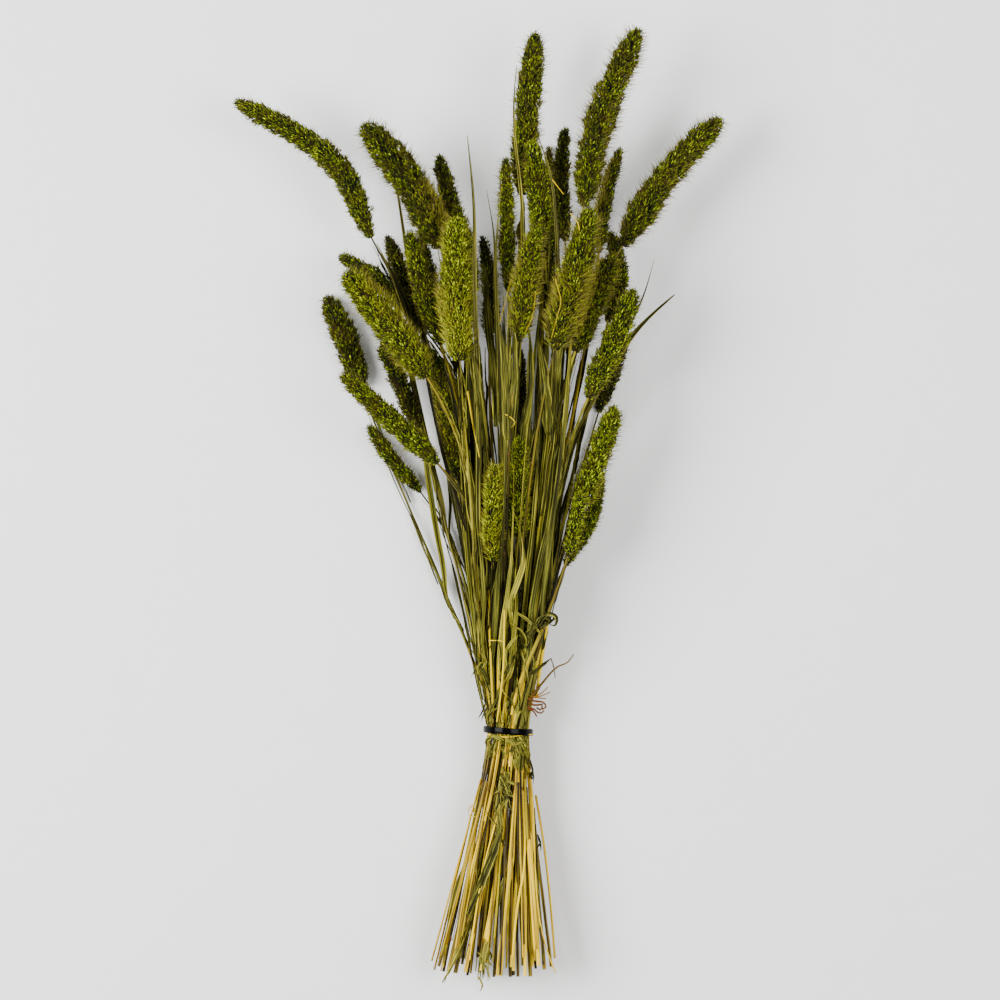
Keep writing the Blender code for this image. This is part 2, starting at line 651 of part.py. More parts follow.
def culm_solid(strands, offset, stations, index):
    """A straw: a five-sided tube from the cut end to the seed head or the broken top."""
    strand = strands[index]
    inner = [y for y in stations if strand["low"] + 6 < y < strand["top"] - 6]
    y = np.array([strand["low"], *inner, strand["top"]])
    points, tangent = strand_line(strands, offset, stations, index, y)
    radius = culm_radius(strand, y)
    kept = kept_stations(np.column_stack([points, radius]), CULM_TOLERANCE)
    points, tangent, radius = points[kept], tangent[kept], radius[kept]
    if strand["head"]:
        points[-1] -= tangent[-1] * TOUCHING_GAP
    side, up = side_and_up(tangent)
    vertices = []
    for p, s, u, r in zip(points, side, up, radius):
        for k in range(CULM_SIDES):
            a = 2 * math.pi * (k + 0.25) / CULM_SIDES
            vertices.append(p + r * (math.cos(a) * s + math.sin(a) * u))
    return add_mesh(f"culm_{index}", vertices, ring_faces(len(points), CULM_SIDES))


def leaf_solid(strands, offset, stations, index, rows, blade):
    """A narrow blade with a keel under its middle, rooted inside its culm."""
    strand = strands[index]
    turn, half = blade
    inner = [y for y in stations if strand["low"] + 5 < y < strand["high"] - 5]
    y = np.array([strand["low"], *inner, strand["high"]])
    points, tangent = strand_line(strands, offset, stations, index, y)
    side, up = side_and_up(tangent)
    a = np.interp(y, rows, turn)[:, None]
    out = np.cos(a) * side + np.sin(a) * up
    normal = np.cos(a) * up - np.sin(a) * side
    left = np.maximum(np.interp(y, rows, half[0]), LEAF_EDGE)[:, None]
    right = np.maximum(np.interp(y, rows, half[1]), LEAF_EDGE)[:, None]
    keel = np.interp(y, [y[0], y[-1]], [LEAF_KEEL, 0.75 * LEAF_KEEL])[:, None]
    tracks = np.stack([points - left * out + 0.3 * keel * normal,
                       points + right * out + 0.3 * keel * normal,
                       points - 0.7 * keel * normal], 1)
    tracks = tracks[kept_stations(tracks, LEAF_TOLERANCE)]
    faces = []
    for ring in range(len(tracks) - 1):
        l0, r0, k0, l1, r1, k1 = range(3 * ring, 3 * ring + 6)
        faces += [(l0, l1, r1), (l0, r1, r0), (k0, l1, l0), (k0, k1, l1), (r0, r1, k1), (r0, k1, k0)]
    last = 3 * len(tracks) - 3
    faces += [(0, 1, 2), (last, last + 2, last + 1)]
    return add_mesh(f"leaf_{index}", tracks.reshape(-1, 3), faces)


def seed_head_solid(strands, offset, stations, index):
    """A dense spike: diamond cells all round, each one a spikelet that stands out to a point."""
    strand = strands[index]
    length = strand["high"] - strand["top"]
    rows = max(6, round(length / HEAD_ROW))
    t = np.linspace(0, 1, rows + 1)
    points, tangent = strand_line(strands, offset, stations, index, strand["top"] + t * length)
    points[0] += tangent[0] * TOUCHING_GAP * 0.5
    side, up = side_and_up(tangent)
    most = strand["head"][6] / 2
    vertices = []
    for j in range(rows + 1):
        radius = most * HEAD_VALLEY * head_share(t[j])
        for k in range(HEAD_SIDES):
            a = 2 * math.pi * (k + 0.5 * (j % 2)) / HEAD_SIDES
            vertices.append(points[j] + radius * (math.cos(a) * side[j] + math.sin(a) * up[j]))
    faces = []
    for j in range(rows + 1):
        for k in range(HEAD_SIDES):
            shift = j % 2
            here = j * HEAD_SIDES + k
            left = (j + 1) * HEAD_SIDES + (k - 1 + shift) % HEAD_SIDES
            right = (j + 1) * HEAD_SIDES + (k + shift) % HEAD_SIDES
            top = (j + 2) * HEAD_SIDES + k
            if j + 2 <= rows:
                a = 2 * math.pi * (k + 0.5 * shift) / HEAD_SIDES
                lean = points[j + 2] * HEAD_CELL_LEAN + points[j + 1] * (1 - HEAD_CELL_LEAN)
                out = math.cos(a) * side[j + 1] + math.sin(a) * up[j + 1]
                vertices.append(lean + most * head_share(t[j + 1]) * out)
                apex = len(vertices) - 1
                faces += [(here, right, apex), (right, top, apex), (top, left, apex),
                          (left, here, apex)]
            elif j + 1 <= rows:
                faces.append((here, right, left))
    for k in range(HEAD_SIDES):
        faces.append((k, (k + 1) % HEAD_SIDES, HEAD_SIDES + k))
    faces.append(tuple(range(HEAD_SIDES)))
    last = rows * HEAD_SIDES
    faces.append(tuple(range(last, last + HEAD_SIDES)))
    return add_mesh(f"seed_head_{index + 1:02d}", vertices, faces)


def without_slivers(mesh):
    """Collapse the slivers that a union leaves, so that every face is a sound triangle."""
    shape = bmesh.new()
    shape.from_mesh(mesh)
    bmesh.ops.triangulate(shape, faces=shape.faces)
    bmesh.ops.dissolve_degenerate(shape, dist=SLIVER * MM, edges=shape.edges)
    bmesh.ops.triangulate(shape, faces=shape.faces)
    shape.to_mesh(mesh)
    shape.free()
    return mesh


def join_pieces(name, pieces):
    """Fuse pieces that are sunk into each other into one body."""
    group = bpy.data.collections.new(name + "_pieces")
    bpy.context.scene.collection.children.link(group)
    base = pieces[0]
    for piece in pieces[1:]:
        bpy.context.scene.collection.objects.unlink(piece)
        group.objects.link(piece)
    union = base.modifiers.new("union", "BOOLEAN")
    union.operation = "UNION"
    union.operand_type = "COLLECTION"
    union.collection = group
    union.solver = "MANIFOLD"
    bpy.context.view_layer.update()
    evaluated = base.evaluated_get(bpy.context.evaluated_depsgraph_get())
    fused = bpy.data.meshes.new_from_object(evaluated)
    base.modifiers.clear()
    base.data = without_slivers(fused)
    base.name = name
    for piece in pieces[1:]:
        bpy.data.objects.remove(piece, do_unlink=True)
    bpy.data.collections.remove(group)
    return base


def box(name, centre, size):
    half = np.array(size) / 2
    corners = [np.array(centre) + half * (sx, sy, sz)
               for sz in (-1, 1) for sx, sy in ((-1, -1), (1, -1), (1, 1), (-1, 1))]
    faces = [(3, 2, 1, 0), (4, 5, 6, 7), (0, 1, 5, 4), (1, 2, 6, 5), (2, 3, 7, 6), (3, 0, 4, 7)]
    return add_mesh(name, corners, faces)


def cable_tie():
    """A strap round the bunch, with its buckle under it, flat on the surface."""
    vertices = []
    outer = TIE_INNER_RADIUS + TIE_STRAP_THICKNESS
    for k in range(TIE_SIDES):
        a = 2 * math.pi * k / TIE_SIDES
        for radius, along in ((TIE_INNER_RADIUS, -0.5), (outer, -0.5), (outer, 0.5),
                              (TIE_INNER_RADIUS, 0.5)):
            x = radius / math.cos(math.pi / TIE_SIDES) * math.cos(a)
            y = along * TIE_STRAP_WIDTH + x * math.tan(TIE_TILT)
            vertices.append((TIE_X + x, TIE_Y + y,
                             TIE_Z + radius / math.cos(math.pi / TIE_SIDES) * math.sin(a)))
    faces = []
    for k in range(TIE_SIDES):
        for c in range(4):
            a, b = 4 * k + c, 4 * k + (c + 1) % 4
            c2, d = (a + 4) % len(vertices), (b + 4) % len(vertices)
            faces.append((a, b, d, c2))
    strap = add_mesh("cable_tie", vertices, faces)
    wide, long, high = TIE_BUCKLE
    buckle = box("buckle", (TIE_X, TIE_Y, high / 2), (wide, long, high))
    tail_long, tail_wide, tail_thick = TIE_TAIL
    tail = box("tail", (TIE_X + wide / 2 + tail_long / 2 - 1, TIE_Y, 2.6),
               (tail_long, tail_wide, tail_thick))
    return join_pieces("cable_tie", [strap, buckle, tail])


def build():
    clear_scene()
    materials = {
        "seed_head": make_material("seed_head", SEED_HEAD_COLOUR, 0.85),
        "leafy_stalk": make_material("leafy_stalk", STALK_COLOUR, 0.6),
        "cable_tie": make_material("cable_tie", TIE_COLOUR, 0.35),
    }
    strands, offset, stations, pairs = lay_out()
    rows = np.linspace(stations[0], stations[-1], ROWS_A_STATION * (len(stations) - 1) + 1)
    blades = leaf_blades(strands, offset, stations, rows)
    for index, strand in enumerate(strands):
        if strand["head"]:
            head = seed_head_solid(strands, offset, stations, index)
            head.data.materials.append(materials["seed_head"])
    for number, pair in enumerate(pairs, 1):
        pieces = [culm_solid(strands, offset, stations, index) for index in pair]
        pieces += [leaf_solid(strands, offset, stations, index, rows, blades[index])
                   for index, strand in enumerate(strands) if strand["culm"] in pair]
        stalk = join_pieces(f"leafy_stalk_{number:02d}", pieces)
        stalk.data.materials.clear()
        stalk.data.materials.append(materials["leafy_stalk"])
    tie = cable_tie()
    tie.data.materials.clear()
    tie.data.materials.append(materials["cable_tie"])
    bpy.context.view_layer.update()


build()
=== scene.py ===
"""The looks of a dried setaria bunch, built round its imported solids.

Plan: +Y runs along the bunch from the cut ends to the seed heads, +X is to the right and +Z is up
from the surface that it lies on.  The layout is in millimetres, as in the part's own source, and
MM turns it into Blender's metres where a mesh is made.
"""
import functools
import math
from contextlib import contextmanager
from types import SimpleNamespace

import bmesh
import bpy
import numpy as np
from bpy.props import FloatProperty, FloatVectorProperty, IntProperty, PointerProperty
from bpy.types import Operator, Panel, PropertyGroup
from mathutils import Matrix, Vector


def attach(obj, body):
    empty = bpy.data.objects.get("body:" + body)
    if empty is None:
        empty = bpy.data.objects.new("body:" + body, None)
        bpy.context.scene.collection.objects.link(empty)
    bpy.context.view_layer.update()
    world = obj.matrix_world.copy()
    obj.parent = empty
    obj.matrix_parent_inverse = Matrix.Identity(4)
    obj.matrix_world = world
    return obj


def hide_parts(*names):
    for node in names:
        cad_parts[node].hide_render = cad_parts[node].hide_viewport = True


bl_info = {
    "name": "Dried Setaria Bunch",
    "version": (1, 0, 0),
    "blender": (4, 5, 0),
    "location": "3D View > Sidebar > Setaria",
    "description": "Seed heads, straws, leaves and tie of a dried setaria bunch",
    "category": "Object",
}

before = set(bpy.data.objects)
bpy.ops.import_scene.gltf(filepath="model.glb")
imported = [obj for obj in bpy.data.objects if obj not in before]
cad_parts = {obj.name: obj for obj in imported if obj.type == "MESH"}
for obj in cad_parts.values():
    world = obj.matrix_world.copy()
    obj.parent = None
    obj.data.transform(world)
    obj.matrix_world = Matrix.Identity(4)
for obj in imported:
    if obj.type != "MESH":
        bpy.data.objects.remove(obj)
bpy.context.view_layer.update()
BODY = "root"

MM = 0.001
TURN = 2 * math.pi
CORNERS = ((-1, -1), (1, -1), (1, 1), (-1, 1))

# Seed heads from base to tip: plan x, y of the base, the middle and the tip, the greatest
# thickness, and how high the head lies, from -1 on the surface to 1 on top of the bunch.
SEED_HEADS = [
    (-78, 199, -119, 266, -176, 298, 19, -0.1),
    (-27, 191, -50, 240, -82, 280, 26, 0.3),
    (-16, 181, -20, 223, -28, 259, 15, -0.4),
    (-39, 133, -69, 166, -99, 185, 15, -0.2),
    (-36, 96, -65, 136, -95, 171, 24, 0.6),
    (-86, 90, -97, 124, -111, 155, 20, -1.0),
    (-29, 33, -64, 66, -98, 97, 17, 0.45),
    (-42, 12, -63, 36, -80, 60, 12, -1.0),
    (-39, 128, -54, 165, -67, 200, 14, -0.7),
    (-26, 120, -39, 160, -49, 201, 16, 0.25),
    (-12, 108, -15, 159, -15, 210, 24, 0.85),
    (33, 230, 37, 289, 43, 347, 20, 0.1),
    (78, 221, 90, 284, 118, 349, 22, 0.3),
    (107, 193, 141, 246, 178, 285, 21, -0.1),
    (65, 197, 62, 241, 65, 279, 13, -0.6),
    (47, 193, 45, 230, 40, 266, 18, 0.45),
    (23, 159, 22, 208, 21, 255, 12, 0.3),
    (90, 188, 95, 230, 105, 263, 12, -0.3),
    (29, 122, 35, 164, 43, 204, 18, 0.8),
    (56, 116, 70, 166, 82, 217, 23, 0.9),
    (96, 137, 105, 172, 98, 202, 14, -0.4),
    (71, 115, 83, 149, 98, 183, 20, 0.4),
    (81, 81, 99, 119, 114, 158, 19, 0.6),
    (74, -1, 87, 33, 101, 73, 18, 0.5),
    (17, -39, 17, -5, 17, 30, 15, 1.0),
    (32, -23, 32, 14, 32, 50, 16, 0.5),
    (65, -42, 82, -11, 92, 22, 12, 0.1),
    (-11, 21, -18, 69, -33, 115, 18, 0.05),
    (-43, 59, -55, 89, -70, 120, 15, -0.6),
    (35, 41, 32, 80, 31, 116, 12, -0.8),
    (52, 131, 51, 175, 55, 218, 15, -0.2),
    (9, 124, 10, 160, 4, 199, 13, -0.8),
    (-21, 122, -33, 160, -42, 201, 13, -0.2),
    (-4, 153, -7, 190, -15, 221, 13, 0.1),
    (90, 71, 99, 98, 109, 127, 13, -1.0),
    (67, -35, 73, -10, 76, 11, 11, 0.95),
    (58, 190, 55, 230, 53, 266, 10, -1.0),
]
# Culms that have lost their head: plan x, y of the broken top and its height in the bunch.
BARE_CULMS = [(21, -75, 0.7), (-12, 45, -0.1), (44, 85, 0.1), (8, 60, -0.8), (62, 10, -0.3)]
# The two culms of each leafy stalk, which lie side by side in the tie: their places in both lists.
TIED_PAIRS = [
    (7, 8), (2, 31), (29, 36), (15, 21), (0, 5), (18, 19), (4, 28), (1, 6), (14, 34), (16, 25),
    (13, 20), (12, 17), (22, 35), (9, 27), (30, 41), (3, 40), (11, 39), (33, 37), (32, 38),
    (10, 24), (23, 26),
]

# Leaves that show by themselves: blade width, the point near which they leave a culm, and the
# points they pass up to their tip, each as plan x, y and height level.  The last ones are leaf
# sheaths that hang down towards the cut ends.
LONG_LEAVES = [
    (6, (5, -60, 0.6), ((1, 90, 0.75), (-1, 160, 0.85), (-2, 219, 0.85), (-7, 272, 0.8))),
    (4.5, (15, -20, 0.4), ((14, 150, 0.45), (12, 205, 0.55), (7, 233, 0.6))),
    (5, (22, -70, 0.7), ((15, 120, 0.85), (14, 197, 0.7), (18, 237, 0.6))),
    (5.5, (25, 20, 0.3), ((33, 216, 0.35), (27, 300, 0.3), (29, 324, 0.25))),
    (5, (-20, -10, -0.2), ((-51, 177, -0.25), (-58, 226, -0.25), (-68, 285, -0.3))),
    (3.5, (75, 30, 0.2), ((112, 134, 0.2), (121, 153, 0.2), (130, 183, 0.15))),
    (12, (46, -60, -0.2), ((76, 60, -0.15), (100, 107, 0), (122, 136, 0.05), (145, 157, 0))),
    (5, (45, 40, 0.6), ((60, 195, 0.75), (54, 246, 0.75), (44, 275, 0.7))),
    (6.5, (20, -105, 0.9), ((22, -72, 0.95), (33, -38, 1), (26, -2, 1))),
    (7, (20, -205, 0.9), ((18, -240, 0.95), (4, -277, 0.95), (-10, -308, 0.9))),
    (4.5, (6, -240, 0.6), ((4, -282, 0.75), (-10, -315, 0.75), (-24, -349, 0.7))),
    (7.5, (16, -230, 0.5), ((10, -290, 0.55), (3, -346, 0.55))),
    (5, (-8, -255, 0.4), ((-18, -290, 0.45), (-25, -327, 0.45))),
    (4, (38, -215, 0.6), ((44, -273, 0.55), (49, -333, 0.55))),
    (4.5, (22, -240, 0.8), ((17, -278, 0.75), (10, -322, 0.7))),
]

# Along the bunch (y): plan x of its middle, half its width, and how high it stands.
BUNCH_SHAPE = [
    (-345, 11, 46, 60),
    (-164, 23, 17, 42),
    (-50, 24, 52, 66),
    (100, 10, 105, 100),
    (350, 2, 150, 112),
]
CUT_END_Y = -338
BUNCH_TOP_Y = 350
STATION_STEP = 24.0
ROWS_A_STATION = 3

TIE_Y = -164.0
TIE_X = 23.0
TIE_STRAP_WIDTH = 4.8
TIE_STRAP_THICKNESS = 1.2
TIE_INNER_RADIUS = 17.2
TIE_TILT = math.radians(-4)
TIE_BUCKLE = (8.0, 7.6, 5.4)
TIE_TAIL = (6.0, 4.2, 1.3)
TIE_Z = TIE_BUCKLE[2] - 0.5 + TIE_INNER_RADIUS + TIE_STRAP_THICKNESS
TIE_ROOM = 0.4

# Culms: their turn round the bunch between the tie and each end, scatter, and radii.
TWIST_ABOVE = math.radians(22)
TWIST_BELOW = math.radians(30)
CUT_SCATTER = 8.0
CUT_FAN = (0.9, 1.15)
CULM_RADIUS_LOW = (1.4, 1.95)
CULM_RADIUS_TOP = 1.05
TIED_RADIUS = 1.95
SHEATH_REACH = 60.0

# Leaves among the stems: where they start and end along the bunch, and their widths and turns.
LEAF_ROOT_Y = (-140, 5)
LEAF_LENGTH = (130, 235)
LEAF_TOP_Y = 215
LEAF_WIDTH = (4.0, 7.0)
LEAF_TURN = 40
LONG_LEAF_TURN = 15
LEAF_WAVE = math.radians(12)
LEAF_CORE = 1.4
LEAF_GAP = 0.5
LEAF_SPREAD = 0.55
BACK_LEVEL = -0.35
# What a leaf's tip keeps of its distance from the middle of the bunch, in plan and in height, and
# how far its tip and its middle then stray, aside and up.
TIP_DRAWN_IN = (0.75, 0.9)
TIP_ASIDE = (-14, 14)
TIP_UP = (-6, 12)
BOW_ASIDE = (-5, 5)
BOW_UP = (-3, 3)

# Settling: gaps to keep, the hold of the tie, and how strands give way to each other.
STRAND_GAP = 1.0
TIED_GAP = 0.5
TOUCHING_GAP = 0.3
TIE_GRIP = 30.0
TIE_EASE = 0.75
TIE_PITCH = 4.4
INNERMOST_RING = 2.3
FUNNEL_START = 6.0
FUNNEL_REACH = 45.0
FUNNEL_SLOPE = 0.12
PAIR_REACH = 22.0
PAIR_PULL = 0.3
PRESSED_SHARE = 0.6
ROOT_RAMP = 30.0
ROOT_HOLD = 25.0
SURFACE_SINK = 0.5
CULM_WEIGHT = 1.0
LEAF_WEIGHT = 3.0
CULM_STIFFNESS = 0.5
LEAF_STIFFNESS = 0.4
PUSH = 0.75
PUSH_ASIDE = 0.8
PUSH_HEAD_ASIDE = 0.35
PUSH_UP = 1.15
NEAR = 4.0
EARLY_MEMORY = (0.97, 0.988)
LATE_MEMORY = (0.996, 0.998)
LATE_STIFFNESS = 0.12
CULM_ROUNDS = 240
PAIR_ROUNDS = 160
LEAF_ROUNDS = 420

SEED = 7

# How light each seed head is: partly its own tone, partly painted shade that darkens most heads at
# the back; and by number from 1, how loose some are, and how bristly.
HEAD_SHADES = [
    0.5, 0.44, 0.4, 0.42, 0.66, 0.42, 0.58, 0.5, 0.36, 0.52, 0.78, 0.5, 0.48, 0.48, 0.42, 0.56,
    0.52, 0.44, 0.6, 0.58, 0.44, 0.54, 0.58, 0.68, 0.8, 0.72, 0.54, 0.52, 0.36, 0.34, 0.44, 0.34,
    0.38, 0.42, 0.32, 0.66, 0.34,
]
LOOSE_HEADS = {3: 0.15, 8: 0.3, 13: 0.2, 24: 0.1}
BRISTLED_HEADS = {2: 1.1, 5: 1.1, 11: 1.2, 12: 1.1, 13: 1.3, 14: 1.2, 17: 1.1, 19: 1.2, 20: 1.3,
                  22: 1.3, 24: 1.1}
BRISTLES_ELSEWHERE = 0.85
# Gold patches of brushed bristles: head, start and end along it, side (-1 left, 1 right, 0 both)
# and strength.
STRAW_PATCHES = [
    (2, 0.05, 0.45, 1, 0.6), (11, 0.0, 0.5, 0, 0.45), (5, 0.3, 0.9, 1, 0.4), (5, 0.0, 0.3, 0, 0.3),
    (20, 0.1, 0.6, 1, 0.4), (22, 0.1, 0.8, -1, 0.5), (18, 0.2, 0.9, -1, 0.6),
    (28, 0.1, 0.8, 0, 0.5), (25, -0.1, 1.1, 0, 0.5), (19, 0.1, 0.7, -1, 0.3),
    (19, 0.1, 0.7, 1, 0.3), (20, 0.1, 0.5, -1, 0.3), (26, 0.1, 0.9, 1, 0.4),
]
# Spikelets on lobes that face down more steeply than this, towards the surface, are sparser.
UNDERSIDE = -0.45
UNDERSIDE_SHARE = 0.5
GOLDEN_ANGLE = math.radians(137.508)
# Lobes: head radii of the smallest and largest, unevenness along the head and out from it, lean
# towards its tip and extra lean at the tip, widths, and depth in widths.
LOBE_RADII = (5, 12)
LOBE_JITTER = 0.45
OUTLINE_WAVE = 0.09
LOBE_LEAN = (20, 45)
TIP_LEAN = 50
LOBE_WIDTHS = (0.75, 1.25)
LOBE_SINK = 0.88
# Spikelets: reach round the lobe, what their direction takes from their place on the lobe, from
# the lobe and from the head, depth of their roots, sizes, forms, and spread of their shades.
LOBE_COVER = 1.35
AIM_OUT, AIM_LOBE, AIM_TIP = 0.4, 0.3, 0.8
SPIKELET_ROOT = 0.45
SPIKELET_SIZES = (0.75, 1.2)
SPIKELET_BELLY = 0.4
SPIKELET_FLATNESS = 0.85
LOBE_BELLY = 0.5
SHADE_SPREAD = 0.23
# Lobes get this share of their head's lightness and so show dark: painted shade deep among the
# spikelets.
LOBE_PAINTED_SHADE = 0.35
HEAD_OUTLINE = ([0, 0.05, 0.12, 0.3, 0.65, 0.88, 0.96, 1.0],
                [0.42, 0.66, 0.86, 1.0, 0.97, 0.78, 0.6, 0.36])
PATCH_EASE = 0.08
# Heads from this one on lie at the back, and get fewer spikelets.
FIRST_BACK_HEAD = 29
BACK_HEAD_SHARE = 0.8
# Thickness of a head's solid from base to tip, as a share of the most.
HEAD_PROFILE = ([0, 0.08, 0.3, 0.65, 0.88, 1.0], [0.55, 0.82, 1.0, 0.97, 0.8, 0.48])
# Lowest that any point may lie, a distance in metres that nothing reaches, and waves in a wander.
LOWEST = 0.05
FAR_OUT = 100.0
WAVES = 3
CULM_COUNT = len(SEED_HEADS) + len(BARE_CULMS)

# How deep a strand is buried, which darkens buried straws, strips and leaves as painted shade: the
# reach to both sides, and the depths where that starts and ends.
BURIED_REACH = 3.5
BURIED_FROM = 2.5
BURIED_DEPTH = 7.0

# Straws: spacing of their rings, their share of their solids' thickness, tones and knots.
STRAW_STEP = 6.0
STRAW_WAVE = 90
STRAW_WOBBLE = 0.25
THICKNESS_WAVE = 60
STRAW_TONE = (0.68, 0.2)
DIM_ABOVE = 0.1
BARE_DIM = 0.2
# Buried straws lose this much tone: painted shade.
BURIED_PAINTED_SHADE = 0.5
GREEN_FROM = (-40, 25)
GREEN_OVER = (30, 90)
THINNED = (0.52, 0.92)
HEAD_OVERLAP = 2.0
KNOT_CHANCE = 0.6
KNOTS_BELOW = (-325, -200)
KNOTS_ABOVE = (-100, 20)
KNOT_STEP = (70, 130)
KNOT_ROWS = (-2.5, -1.2, -0.5, 0, 0.5, 1.2, 2.5)
KNOT_LENGTH = 1.1
KNOT_RISE = 0.35
GREEN_STRAW_CHANCE = 0.18
GREEN_STRAW = (0.35, 0.8)
# Buried straws turn this much greener and so darker: painted shade.
BURIED_SHADE_GREEN = 0.6

# A leaf's solid: its width from root to tip, the radius it takes up, and what it keeps free.
BLADE_PROFILE = ([0, 0.12, 0.45, 0.75, 1], [0.4, 0.8, 1, 0.7, 0.12])
BLADE_RADIUS = 0.55
BLADE_CLEAR = 0.4
# Leaves: least share of the width, width from root to tip, pleats, fold, spacing of the rows,
# thickness, ripple, and how far apart the grains of two of them are.
LEAST_WIDTH = 0.6
LEAF_PROFILE = ([0, 0.12, 0.45, 0.75, 1], [0.5, 0.85, 1, 0.72, 0.08])
PLEAT_WIDTH = 0.8
PLEAT_DEPTH = 0.5
LEAF_FOLD = (0.5, 1.3)
LEAF_STEP = 5.5
LEAF_THICKNESS = 0.25
LEAF_RIPPLE = 0.16
GRAIN_APART = 37.0
# Strips and leaves on the straws: where one may start, how many a straw has there, half widths.
CLING_ZONES = [(-165, 60, 5.0, (0.5, 1.7)), (10, 110, 1.4, (1.2, 2.8)),
               (100, 190, 1.6, (1.0, 2.6))]
BARE_ABOVE = (18, 19)
CLING_LENGTH = (70, 200)
SHORTEST_CLING = 40
CLING_Y = -60.0
CLING_PROFILE = ([0, 0.1, 0.6, 1], [0.6, 1, 0.8, 0.1])
CLING_TONE = (0.62, 0.22)
CLING_FOLD = (0.3, 1.2)
# Leaf sheaths round the straws: where one may start along the bunch, and its chance there.
SHEATH_ZONES = [(-320, -220, 0.35), (-215, -165, 0.6), (-150, -80, 0.7), (-60, 20, 0.6)]
SHEATH_LENGTH = (30, 80)
SHEATH_STEP = 7.0
SHEATH_COLUMNS = 8
SHEATH_LIFT = 0.2
SHEATH_THICKNESS = 0.2
SHEATH_SLANT = 9.0
SHEATH_ARC = (200, 330)
SHEATH_TONE = (0.62, 0.18)
# Leaves that are torn narrow for a stretch, so that a seed head shows behind: from, to, share.
# Each narrows and widens again over the length NARROW_EASE.
NARROW_LEAVES = {89: (-40, 60, 0.35), 90: (-40, 60, 0.3), 91: (-45, 60, 0.3), 99: (-45, 60, 0.35),
                 100: (-45, 60, 0.35), 121: (-60, 55, 0.3), 88: (-40, 90, 0.45),
                 101: (-40, 60, 0.45), 50: (-36, 30, 0.35), 48: (-95, 75, 0.4),
                 43: (-30, 60, 0.35), 44: (-85, 70, 0.3)}
NARROW_EASE = 15
# Tone and greenness of each of LONG_LEAVES, and the mean tone and its spread on the others.
LEAF_FINISHES = [
    (0.45, 0.1), (0.45, 0.2), (0.5, 0.2), (0.5, 0.2), (0.42, 0.0), (0.4, 0.0), (0.45, 0.2),
    (0.5, 0.1), (0.92, 0.35), (0.6, 0.1), (0.85, 0.0), (0.5, 0.1), (0.75, 0.1), (0.6, 0.1),
    (0.8, 0.1),
]
LEAF_TONE = (0.62, 0.2)

